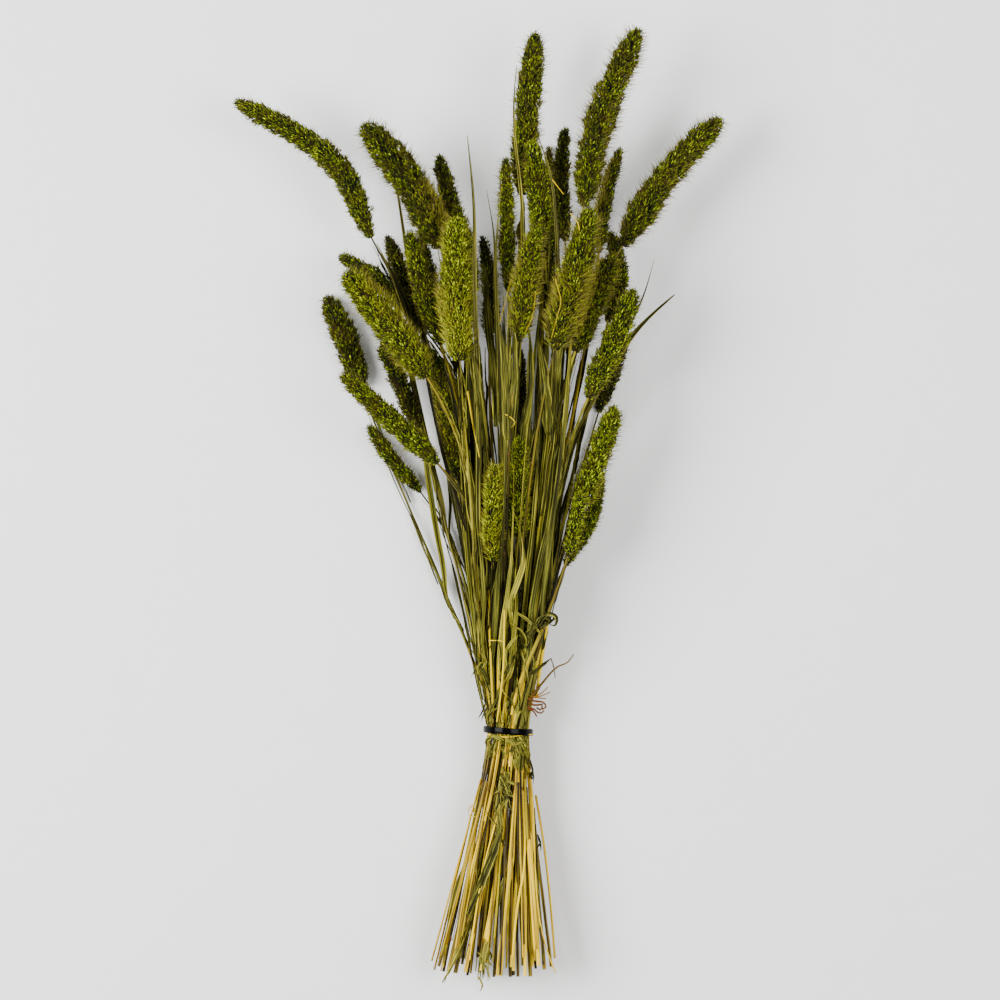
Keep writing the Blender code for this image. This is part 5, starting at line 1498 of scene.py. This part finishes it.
def dress_straw(rng, sheets, index):
    """The dry strips and torn sheaths that cling to a straw."""
    # Painted shade: strips on a buried straw are darker.
    inside = buried(index, CLING_Y)
    bare = index in BARE_ABOVE
    for low, high, chance, widths in CLING_ZONES:
        for _ in range(int(chance + rng.random()) * (not bare)):
            tone = rng.normal(*CLING_TONE) - 0.25 * inside
            clinging_leaf(rng, sheets, index, rng.uniform(low, high), rng.uniform(*widths),
                          np.clip(tone, 0.05, 1), rng.uniform(0, 0.7))
    for low, high, chance in SHEATH_ZONES:
        if rng.random() < chance and (high < TIE_Y or not bare):
            sheath(rng, sheets, index, rng.uniform(low, high), rng.uniform(*SHEATH_LENGTH),
                   np.clip(rng.normal(*SHEATH_TONE), 0.1, 1), rng.uniform(0, 0.4))


# Loose straws, fibres and scraps

def laid_line(points, radius, step, stiff=False):
    """A line laid over the bunch along plan points, with the height of what carries it."""
    points = np.array([(*p, 0.0)[:3] for p in points], float)
    run = run_along(points[:, :2])
    even = np.linspace(0, run[-1], max(6, int(run[-1] / step) + 1))
    x, y, lift = (smooth_line(np.column_stack([run, points[:, k], points[:, k]]), even)[:, 0]
                  for k in range(3))
    height = np.array([top_of_bunch(a, b) for a, b in zip(x, y)]) + radius
    if stiff:
        height = resting(even, height)
    else:
        fall = STEEPEST * np.abs(even[:, None] - even)
        height = (height - fall).max(1)
    line = np.column_stack([x, y, np.maximum(height + lift, radius + LOWEST)])
    return line, unit(np.gradient(line, axis=0))


def resting(run, height):
    """Heights of a stiff straw that rests on the tops under it."""
    held = [0]
    for k in range(1, len(run)):
        while len(held) > 1:
            a, b = held[-2], held[-1]
            over = height[a] + (height[k] - height[a]) * (run[b] - run[a]) / (run[k] - run[a])
            if height[b] > over:
                break
            held.pop()
        held.append(k)
    return np.interp(run, run[held], height[held])


def thin_straws(rng):
    """Thin straws fanned out between the others below the tie."""
    rows = []
    for k in range(THIN_STRAWS):
        x = THIN_MIDDLE + THIN_SPREAD * (2 * (k + 0.5) / THIN_STRAWS - 1) + rng.uniform(-2, 2)
        top, low = rng.uniform(*THIN_TOPS), rng.uniform(*THIN_ENDS)
        end = THIN_END_MIDDLE + (x - THIN_MIDDLE) * rng.uniform(*THIN_FAN)
        start = x + (end - x) * (THIN_FAN_Y - top) / THIN_FAN_LENGTH
        width = rng.uniform(*THIN_WIDTHS)
        rows.append(([(start, top, -1.5), (end, low, rng.uniform(-1, 0.5))], width, 0.9 * width,
                     rng.choice(THIN_TONES), rng.choice(THIN_GREENS), 0.0, 1))
    return rows


def scrap(rng, sheets, points, width, tone, green, turn, fold):
    """A shred of dry leaf laid on the bunch, crumpled and turned over as it goes."""
    line, tangent = laid_line(points, 0.4, LAID_STEP * 0.6)
    t = np.linspace(0, 1, len(line))
    half = width / 2 * np.interp(t, *SCRAP_PROFILE) * (1 + 0.25 * wander(rng, t, most=9))
    turns = turn * (t - 0.3) + 0.5 * wander(rng, t, most=7)
    line[:, 2] += 0.35 * half * np.abs(np.sin(turns))
    fold = fold * (1 + 0.5 * wander(rng, t))
    add_blade(rng, sheets, line, tangent, turns, (half, half), fold, tone, green)


def tuft(rng, sheets, x, y, half_width, half_length, count, tone, green):
    """Torn shreds of sheath that lie crumpled round a spot of the bunch."""
    for _ in range(count):
        start = np.array([x, y]) + rng.uniform(-1, 1, 2) * [half_width, half_length]
        way = math.radians(rng.choice([-90, 90]) + rng.normal(0, 18))
        reach = rng.uniform(*SHRED_REACH) * half_length + 1
        step = np.array([math.cos(way), math.sin(way)]) * reach
        aside = np.array([-step[1], step[0]]) * rng.uniform(-0.25, 0.25)
        points = [(*start, 0.0), (*(start + 0.5 * step + aside), rng.uniform(0.2, 1.0)),
                  (*(start + step), rng.uniform(0.2, 1.5))]
        scrap(rng, sheets, points, rng.uniform(*SHRED_WIDTH),
              np.clip(rng.normal(tone, SHRED_SPREAD), 0, 1), green * rng.uniform(0.3, 1),
              rng.uniform(*SHRED_TURN), rng.uniform(*SHRED_FOLD))


# Seed heads

def head_line(index):
    """Points a millimetre apart along a seed head, with tangent, side, up and its length."""
    strand = bunch().strands[index]
    y = np.linspace(strand.top, strand.high, 80)
    points, _ = on_strand(index, y)
    run = run_along(points)
    even = np.linspace(0, run[-1], int(run[-1]) + 1)
    points = np.column_stack([np.interp(even, run, points[:, k]) for k in range(3)])
    tangent = unit(np.gradient(points, axis=0))
    side, up = side_and_up(tangent)
    return points, tangent, side, up, even


def straw_patch(index, t, side_of):
    """How far each lobe of a head lies in one of its gold patches."""
    patch = np.zeros(len(t))
    for number, low, high, way, strength in STRAW_PATCHES:
        if number == index + 1:
            inside = np.clip(np.minimum(t - low, high - t) / PATCH_EASE + 0.5, 0, 1)
            facing = np.clip(0.5 + 1.4 * way * side_of, 0, 1) if way else 1.0
            patch = np.maximum(patch, inside * facing * strength)
    return patch


def head_lobes(rng, index, settings):
    """The spindle of a seed head, and the lobes set round it by the golden angle."""
    points, tangent, side, up, even = head_line(index)
    length = even[-1]
    most = SEED_HEADS[index][6] / 2
    loose = LOOSE_HEADS.get(index + 1, 0.0)
    sizes = [settings.small_lobe / MM, settings.large_lobe / MM]
    lobe = float(np.interp(most, LOBE_RADII, sizes))
    reach = most * np.interp(even / length, *HEAD_OUTLINE)
    reach = reach * (1 + OUTLINE_WAVE * wander(rng, even / length, most=7))
    density = TURN * reach / lobe**2 * (1 - 0.4 * loose)
    total = np.concatenate([[0], density.cumsum()])[:-1]
    count = int(total[-1])
    places = np.arange(count) + rng.uniform(-LOBE_JITTER, LOBE_JITTER, count)
    along = np.clip(np.interp(places, total, even), 0, length)
    angle = np.arange(count) * GOLDEN_ANGLE + rng.normal(0, 0.15, count)
    t = along / length
    centre, axis, side, up = (np.column_stack([np.interp(along, even, v[:, k]) for k in range(3)])
                              for v in (points, tangent, side, up))
    axis = unit(axis)
    radial = unit(turned(angle, side, up))
    near_tip = np.clip((t - 0.93) / 0.07, 0, 1)
    lean = np.radians(rng.uniform(*LOBE_LEAN, count)) + np.radians(TIP_LEAN) * near_tip
    wide = lobe * rng.uniform(*LOBE_WIDTHS, count)
    out = np.interp(along, even, reach) * rng.normal(1.0, 0.08 + 0.06 * loose, count)
    middle = centre + radial * np.maximum(out - LOBE_SINK * wide, 0.4)[:, None]
    middle += axis * (0.3 * wide * np.sin(lean))[:, None]
    core = np.maximum(reach * settings.spindle_share * (1 - 0.6 * loose), 0.8)[::2]
    return SimpleNamespace(spindle=points[::2], core=core, size=lobe, t=t, wide=wide, middle=middle,
                           axis=axis, radial=radial, branch=turned(lean, radial, axis))


def head_points(rng, index, settings):
    """Points on a head's spindle, lobes and spikelets, how many the spindle has, and values."""
    lobes = head_lobes(rng, index, settings)
    axis, radial, branch = lobes.axis, lobes.radial, lobes.branch
    fewer = BACK_HEAD_SHARE if index + 1 >= FIRST_BACK_HEAD else 1
    each = max(4, round(settings.spikelets_a_lobe * (lobes.size / 5)**2 * fewer))
    k = np.arange(each)
    z = 1 - (k + 0.5) / each * LOBE_COVER
    cross = unit(np.cross(axis, branch))
    turn = rng.uniform(0, TURN, len(axis))[:, None] + k * GOLDEN_ANGLE
    flat = np.sqrt(1 - z**2)
    around = (z[:, None] * branch[:, None] + (flat * np.cos(turn))[..., None] * cross[:, None]
              + (flat * np.sin(turn))[..., None] * np.cross(branch, cross)[:, None])
    aim = unit(around * AIM_OUT + branch[:, None] * AIM_LOBE + axis[:, None] * AIM_TIP
               + rng.normal(0, 0.2, around.shape))
    size = rng.uniform(*SPIKELET_SIZES, around.shape[:2]) * (settings.spikelet / MM)
    size *= np.interp(lobes.t, [0, 0.1, 0.9, 1], [0.85, 1, 1, 0.8])[:, None]
    base = lobes.middle[:, None] + around * (SPIKELET_ROOT * lobes.wide)[:, None, None]
    patch = straw_patch(index, lobes.t, radial[:, 0])[:, None]
    size *= 1 - 0.25 * patch
    size *= (radial[:, 2:] > UNDERSIDE) | (rng.random(size.shape) < UNDERSIDE_SHARE)
    straw = np.clip(0.25 * patch + rng.normal(0.03, 0.06, size.shape), 0, 1)
    level = HEAD_SHADES[index]
    shade = level + rng.normal(0, 0.07, patch.shape) + rng.normal(0, SHADE_SPREAD, size.shape)
    hairy = BRISTLED_HEADS.get(index + 1, BRISTLES_ELSEWHERE)
    bristle = rng.uniform(0.6, 1.2, size.shape) * (1 + 0.2 * patch) * hairy
    share = (settings.bristle_share * hairy + 0.5 * patch) * (1.7 - 1.2 * np.abs(radial[:, 2:]))
    bristle = np.where((rng.random(size.shape) < share) & (size > 0), bristle, 0)
    sweep = radial * (0.9 - 0.5 * patch) + axis * (0.55 + 0.7 * patch)
    sweep = unit(sweep[:, None] + 0.3 * around + rng.normal(0, 0.22, around.shape))
    # The spindle gets no lightness and the lobes little, so both show nearly black: painted shade
    # deep in the head.
    rows = dict(radius=(lobes.core * MM, 0, 0), lobe=(0, lobes.wide * settings.lobe_core, 0),
                size=(0, 0, size), bristle=(0, 0, bristle), shade=(0, LOBE_PAINTED_SHADE * level, shade),
                straw=(0, 0.2 * patch, straw))
    counts = (len(lobes.spindle), len(axis), size.size)
    values = {title: np.concatenate([np.broadcast_to(np.ravel(v), n) for v, n in zip(row, counts)])
              for title, row in rows.items()}
    for title, ways in (("aim", aim), ("sweep", sweep)):
        values[title] = np.concatenate([0 * lobes.spindle, branch, ways.reshape(-1, 3)])
    points = np.concatenate([lobes.spindle, lobes.middle, base.reshape(-1, 3)])
    return points, len(lobes.spindle), values


def three_corners(width, depth, height):
    turns = [TURN * k / 3 for k in range(3)]
    return [(width * math.cos(a), depth * math.sin(a), height) for a in turns]


def pointed_solid(name, belly, width, depth, low):
    """A small closed grain on the Z axis, a millimetre long, widest at its belly."""
    vertices = [(0, 0, low), *three_corners(width, depth, low + belly), (0, 0, low + 1)]
    faces = [(0, 2, 1), (1, 2, 4), (0, 3, 2), (2, 3, 4), (0, 1, 3), (3, 1, 4)]
    return make_object(name, vertices, faces,
                       values={"tip": [0.0, belly, belly, belly, 1.0], "hair": [0.0] * 5})


def bristle_spike(settings):
    """A three-sided hair, one bristle long, that leans a little at its tip."""
    half = settings.bristle_width / MM / 2
    vertices = [*three_corners(half, half, 0), (0.3, 0.0, settings.bristle / MM)]
    return make_object("bristle", vertices, [(0, 1, 3), (1, 2, 3), (2, 0, 3), (0, 2, 1)],
                       values={"tip": [0.2, 0.2, 0.2, 1.0], "hair": [1.0] * 4})


# Cable tie

def swept_ring(profile, segments):
    """A closed ring of a profile (radius, along) round the tie's middle, tilted as it lies."""
    size = len(profile)
    vertices, faces = [], []
    for k in range(segments):
        a = TURN * k / segments
        this, other = size * k, size * ((k + 1) % segments)
        for c, (radius, along) in enumerate(profile):
            x = radius * math.cos(a)
            vertices.append((TIE_X + x, TIE_Y + along + x * math.tan(TIE_TILT),
                             TIE_Z + radius * math.sin(a)))
            after = (c + 1) % size
            faces.append((this + c, this + after, other + after, other + c))
    return vertices, faces


def rounded_outline(half_width, half_height, corner):
    """A rectangle's outline with round corners, anticlockwise."""
    points = []
    for quarter, (sx, sy) in enumerate(((1, 1), (-1, 1), (-1, -1), (1, -1))):
        for step in range(CORNER_STEPS):
            a = math.pi / 2 * (quarter + step / (CORNER_STEPS - 1))
            points.append((sx * (half_width - corner) + corner * math.cos(a),
                           sy * (half_height - corner) + corner * math.sin(a)))
    return points


def rounded_block(name, centre, size, corner):
    """A box with bevelled edges, in millimetres."""
    signs = [(x, y, z) for z in (-1, 1) for x, y in CORNERS]
    corners = np.array(centre) + np.array(size) / 2 * signs
    faces = [(3, 2, 1, 0), (4, 5, 6, 7), (0, 1, 5, 4), (1, 2, 6, 5), (2, 3, 7, 6), (3, 0, 4, 7)]
    obj = make_object(name, corners, faces)
    with edited(obj.data) as shape:
        bmesh.ops.bevel(shape, geom=shape.edges[:], offset=corner * MM, segments=BEVEL_STEPS,
                        profile=0.5, affect="EDGES")
    return obj


def joined(name, parts):
    """Several objects' meshes in one object."""
    mesh = bpy.data.meshes.new(name)
    with edited(mesh) as shape:
        for part in parts:
            shape.from_mesh(part.data)
            bpy.data.objects.remove(part, do_unlink=True)
    return link(name, mesh)


# Settings

def colour_prop(name, description, colour):
    return FloatVectorProperty(name=name, description=description, default=colour, size=3,
                               subtype="COLOR", min=0.0, max=1.0)


def length_prop(name, description, millimetres):
    return FloatProperty(name=name, description=description, default=millimetres * MM,
                         min=0.0, unit="LENGTH", precision=5)


def power_prop(name, description, watts):
    return FloatProperty(name=name, description=description, default=watts, min=0.0,
                         unit="POWER")


def number_prop(name, description, value, low, high):
    return FloatProperty(name=name, description=description, default=value, min=low, max=high)


def count_prop(name, description, count, low):
    return IntProperty(name=name, description=description, default=count, min=low)


class HeadSettings(PropertyGroup):
    """Sizes and colours of the seed heads."""
    spikelet: length_prop("Spikelet", "Length of a spikelet", 3.0)
    spikelet_width: length_prop("Spikelet width", "Width of a spikelet", 1.1)
    bristle: length_prop("Bristle", "Length of a bristle", 6.8)
    bristle_width: length_prop("Bristle width", "Width of a bristle at its base", 0.5)
    small_lobe: length_prop("Small lobe", "Width of a lobe on the thinnest heads", 2.6)
    large_lobe: length_prop("Large lobe", "Width of a lobe on the thickest heads", 3.4)
    spikelets_a_lobe: count_prop("Spikelets a lobe", "In a lobe 5 mm wide", 16, 3)
    bristle_share: number_prop("Bristle share", "Spikelets with a bristle", 0.32, 0.0, 1.0)
    spindle_share: number_prop("Spindle share", "Core radius in a head's own", 0.6, 0.1, 0.9)
    spindle_sides: count_prop("Spindle sides", "Faces round the spindle", 6, 3)
    lobe_core: number_prop("Lobe core", "Dark core of a lobe in its width", 0.85, 0.1, 1.0)
    speckle: number_prop("Speckle", "Scale of the colour speckle", 800.0, 1.0, 10000.0)
    blush: number_prop("Blush", "Scale of the brownish patches", 90.0, 1.0, 10000.0)
    green: colour_prop("Green", "Spikelets in the middle range", linear(83, 97, 8))
    yellow_green: colour_prop("Yellow green", "Light spikelets", linear(126, 144, 13))
    brown: colour_prop("Brown", "Patches that have turned brown", linear(100, 80, 18))
    bristle_straw: colour_prop("Gold bristles", "Where they lie brushed", linear(162, 146, 50))
    bristle_brown: colour_prop("Brown bristles", "Elsewhere", linear(104, 88, 44))


class StalkSettings(PropertyGroup):
    """Straws, leaves and scraps."""
    sides: count_prop("Straw sides", "Faces round a straw", 10, 5)
    loose_sides: count_prop("Loose straw sides", "Faces round a loose straw or fibre", 8, 3)
    bore: number_prop("Bore", "Inner radius of a cut straw as a share", 0.6, 0.1, 0.95)
    bore_depth: length_prop("Bore depth", "How deep a cut straw is seen into", 6.0)
    loose_depth: length_prop("Loose bore depth", "How deep a loose straw is seen into", 1.0)
    straw: colour_prop("Straw", "Straws below the tie", linear(218, 178, 12))
    stem_green: colour_prop("Green stem", "Straws above the tie", linear(106, 102, 24))
    knot: colour_prop("Knot", "Knots of the straws", linear(112, 58, 18))
    olive: colour_prop("Olive", "Leaves in the middle range", linear(93, 90, 33))
    tan: colour_prop("Tan", "Dry leaf edges and sheaths", linear(174, 160, 60))


class TieSettings(PropertyGroup):
    """The cable tie."""
    segments: count_prop("Segments", "Segments round the strap", 96, 24)
    corner: length_prop("Corner", "Rounding of the strap's edges", 0.35)
    black: colour_prop("Black", "Nylon", linear(2, 2, 3))


class StageSettings(PropertyGroup):
    """Floor, light and camera."""
    floor: colour_prop("Floor", "Pale board", linear(243, 243, 242))
    floor_size: length_prop("Floor size", "Side of the board", 6000.0)
    distance: length_prop("Distance", "Camera to the middle of the bunch", 6000.0)
    view_width: length_prop("View width", "Width of the picture at the bunch", 734.5)
    view_x: length_prop("View x", "Middle of the picture", 16.9)
    view_y: length_prop("View y", "Middle of the picture", 6.2)
    left: power_prop("Left light", "Power of the left softbox", 140.0)
    right: power_prop("Right light", "Power of the right softbox", 62.0)
    world: number_prop("Surroundings", "Strength of the even light", 0.44, 0.0, 10.0)


# Operators

class SETARIA_OT_straws(Operator):
    """Make the straws, two to a node"""
    bl_idname = "setaria.straws"
    bl_label = "Straws"

    def execute(self, context):
        settings = context.scene.setaria_stalks
        material = straw_material(settings)
        tree = tube_tree()
        rng = np.random.default_rng(SEED + 10)
        for number, pair in enumerate(TIED_PAIRS, 1):
            obj = make_lines(f"straws_{number:02d}", [straw_line(rng, index) for index in pair])
            apply_tree(obj, tree, {"Sides": settings.sides, "Bore": settings.bore,
                                   "Depth": -settings.bore_depth, "Material": material})
            finish_piece(obj, [f"leafy_stalk_{number:02d}"])
        return {"FINISHED"}


class SETARIA_OT_leaves(Operator):
    """Make the leaves, clinging strips and sheaths of each pair of straws"""
    bl_idname = "setaria.leaves"
    bl_label = "Leaves"

    def execute(self, context):
        settings = context.scene.setaria_stalks
        material = leaf_material(settings)
        rng = np.random.default_rng(SEED + 20)
        for number, pair in enumerate(TIED_PAIRS, 1):
            sheets = Sheets()
            for index, strand in enumerate(bunch().strands):
                if strand.culm in pair:
                    # Painted shade: leaves that lie buried among the others are darker.
                    inside = buried(index, (strand.low + strand.high) / 2)
                    tone, green = rng.normal(*LEAF_TONE) - 0.2 * inside, rng.uniform(0, 0.75)
                    if index - CULM_COUNT < len(LEAF_FINISHES):
                        tone, green = LEAF_FINISHES[index - CULM_COUNT]
                    grown_leaf(rng, sheets, index, np.clip(tone, 0.08, 1), green)
            for index in pair:
                dress_straw(rng, sheets, index)
            obj = sheets.make(f"leaves_{number:02d}")
            finish_piece(obj, [f"leafy_stalk_{number:02d}"], material)
        return {"FINISHED"}


class SETARIA_OT_scraps(Operator):
    """Lay loose straws, fibres and crumpled shreds of leaf on the bunch"""
    bl_idname = "setaria.scraps"
    bl_label = "Loose straws and scraps"

    def execute(self, context):
        settings = context.scene.setaria_stalks
        rng = np.random.default_rng(SEED + 30)
        lines = []
        for points, wide, wide_end, tone, green, brown, stiff in THREADS + thin_straws(rng):
            line, _ = laid_line(points, (wide + wide_end) / 4, LAID_STEP * (1 + 3 * stiff), stiff)
            t = np.linspace(0, 1, len(line))
            lines.append((line, dict(radius=(wide + (wide_end - wide) * t) / 2 * MM,
                                     tone=0 * t + tone, green=0 * t + green,
                                     knot=0 * t + brown, along=line[:, 1])))
        loose = make_lines("loose_straws", lines)
        apply_tree(loose, tube_tree(), {
            "Sides": settings.loose_sides, "Bore": settings.bore,
            "Depth": -settings.loose_depth, "Material": straw_material(settings)})
        finish_piece(loose)
        sheets = Sheets()
        for row in SCRAPS:
            scrap(rng, sheets, *row)
        for row in TUFTS:
            tuft(rng, sheets, *row)
        finish_piece(sheets.make("scraps"), material=leaf_material(settings))
        return {"FINISHED"}


class SETARIA_OT_heads(Operator):
    """Make the seed heads"""
    bl_idname = "setaria.heads"
    bl_label = "Seed heads"

    def execute(self, context):
        settings = context.scene.setaria_heads
        material = head_material(settings)
        tree = seed_head_tree()
        slim = settings.spikelet_width / settings.spikelet / 2
        spikelet = pointed_solid("spikelet", SPIKELET_BELLY, slim, SPIKELET_FLATNESS * slim, 0.0)
        lobe = pointed_solid("lobe", LOBE_BELLY, LOBE_BELLY, LOBE_BELLY, -LOBE_BELLY)
        bristle = bristle_spike(settings)
        for index in range(len(SEED_HEADS)):
            rng = np.random.default_rng(SEED + 100 + index)
            vertices, core, values = head_points(rng, index, settings)
            edges = [(k, k + 1) for k in range(core - 1)]
            obj = make_object(f"head_{index + 1:02d}", vertices, [], edges, values)
            apply_tree(obj, tree, {"Lobe": lobe, "Spikelet": spikelet, "Bristle": bristle,
                                   "Spindle sides": settings.spindle_sides,
                                   "Seed": SEED + index, "Material": material})
            finish_piece(obj, [f"seed_head_{index + 1:02d}"])
        for pattern in (lobe, spikelet, bristle):
            bpy.data.objects.remove(pattern, do_unlink=True)
        return {"FINISHED"}


class SETARIA_OT_tie(Operator):
    """Make the cable tie with its buckle and tail"""
    bl_idname = "setaria.tie"
    bl_label = "Cable tie"

    def execute(self, context):
        settings = context.scene.setaria_tie
        thick, wide = TIE_STRAP_THICKNESS, TIE_STRAP_WIDTH
        outline = rounded_outline(thick / 2, wide / 2, settings.corner / MM)
        profile = [(TIE_INNER_RADIUS + thick / 2 + x, y) for x, y in outline]
        end = TIE_X + TIE_BUCKLE[0] / 2
        blocks = [("buckle", TIE_X, TIE_BUCKLE[2] / 2, TIE_BUCKLE, BUCKLE_CORNER),
                  ("tail", end + TIE_TAIL[0] / 2 - TAIL_OVERLAP, TAIL_Z, TIE_TAIL, TAIL_CORNER)]
        blocks += [("tooth", end + RACK_START + step, RACK_Z, RACK_TOOTH, RACK_CORNER)
                   for step in range(RACK_TEETH)]
        parts = [make_object("strap", *swept_ring(profile, settings.segments))]
        parts += [rounded_block(name, (x, TIE_Y, z), size, corner)
                  for name, x, z, size, corner in blocks]
        obj = joined("tie", parts)
        finish_piece(obj, ["cable_tie"], tie_material(settings))
        return {"FINISHED"}


class SETARIA_OT_stage(Operator):
    """Set up the pale floor, the soft lights and the camera"""
    bl_idname = "setaria.stage"
    bl_label = "Stage"

    def execute(self, context):
        settings = context.scene.setaria_stage
        half = settings.floor_size / 2 / MM
        floor = make_object("floor", [(x * half, y * half, 0) for x, y in CORNERS],
                            [(0, 1, 2, 3)])
        floor.data.materials.append(floor_material(settings))
        middle = Vector((settings.view_x, settings.view_y, VIEW_HEIGHT))
        data = bpy.data.cameras.new("camera")
        data.sensor_width = SENSOR_WIDTH
        data.lens = data.sensor_width * settings.distance / settings.view_width
        data.clip_end = CAMERA_REACH
        camera = link("camera", data)
        camera.location = middle + Vector((0, 0, settings.distance))
        context.scene.camera = camera
        for (name, place, size), power in zip(SOFTBOXES, (settings.left, settings.right)):
            light = bpy.data.lights.new(name, "AREA")
            light.energy = power
            light.size = size
            lamp = link(name, light)
            lamp.location = place
            lamp.rotation_euler = (-Vector(place)).to_track_quat("-Z", "Y").to_euler()
        world = bpy.data.worlds.new("studio")
        world.use_nodes = True
        background = world.node_tree.nodes["Background"]
        background.inputs["Color"].default_value = (1.0, 1.0, 1.0, 1.0)
        background.inputs["Strength"].default_value = settings.world
        context.scene.world = world
        return {"FINISHED"}


class SETARIA_PT_panel(Panel):
    """Everything that makes the bunch"""
    bl_label = "Dried setaria"
    bl_idname = "SETARIA_PT_panel"
    bl_space_type = "VIEW_3D"
    bl_region_type = "UI"
    bl_category = "Setaria"

    def draw(self, context):
        for title, operators in SECTIONS.items():
            settings = getattr(context.scene, title)
            box = self.layout.box()
            for name in settings.__annotations__:
                box.prop(settings, name)
            for operator in operators:
                box.operator(operator.bl_idname)


SETTINGS = {"setaria_heads": HeadSettings, "setaria_stalks": StalkSettings,
            "setaria_tie": TieSettings, "setaria_stage": StageSettings}
SECTIONS = {"setaria_stage": [SETARIA_OT_stage],
            "setaria_stalks": [SETARIA_OT_straws, SETARIA_OT_leaves, SETARIA_OT_scraps],
            "setaria_heads": [SETARIA_OT_heads], "setaria_tie": [SETARIA_OT_tie]}
CLASSES = [*SETTINGS.values(), *(o for group in SECTIONS.values() for o in group),
           SETARIA_PT_panel]


def register():
    for made in CLASSES:
        bpy.utils.register_class(made)
    for title, kind in SETTINGS.items():
        setattr(bpy.types.Scene, title, PointerProperty(type=kind))


def unregister():
    for title in SETTINGS:
        delattr(bpy.types.Scene, title)
    for made in reversed(CLASSES):
        bpy.utils.unregister_class(made)


def main():
    register()
    for group in SECTIONS.values():
        for operator in group:
            area, name = operator.bl_idname.split(".")
            getattr(getattr(bpy.ops, area), name)()


if __name__ == "__main__":
    main()
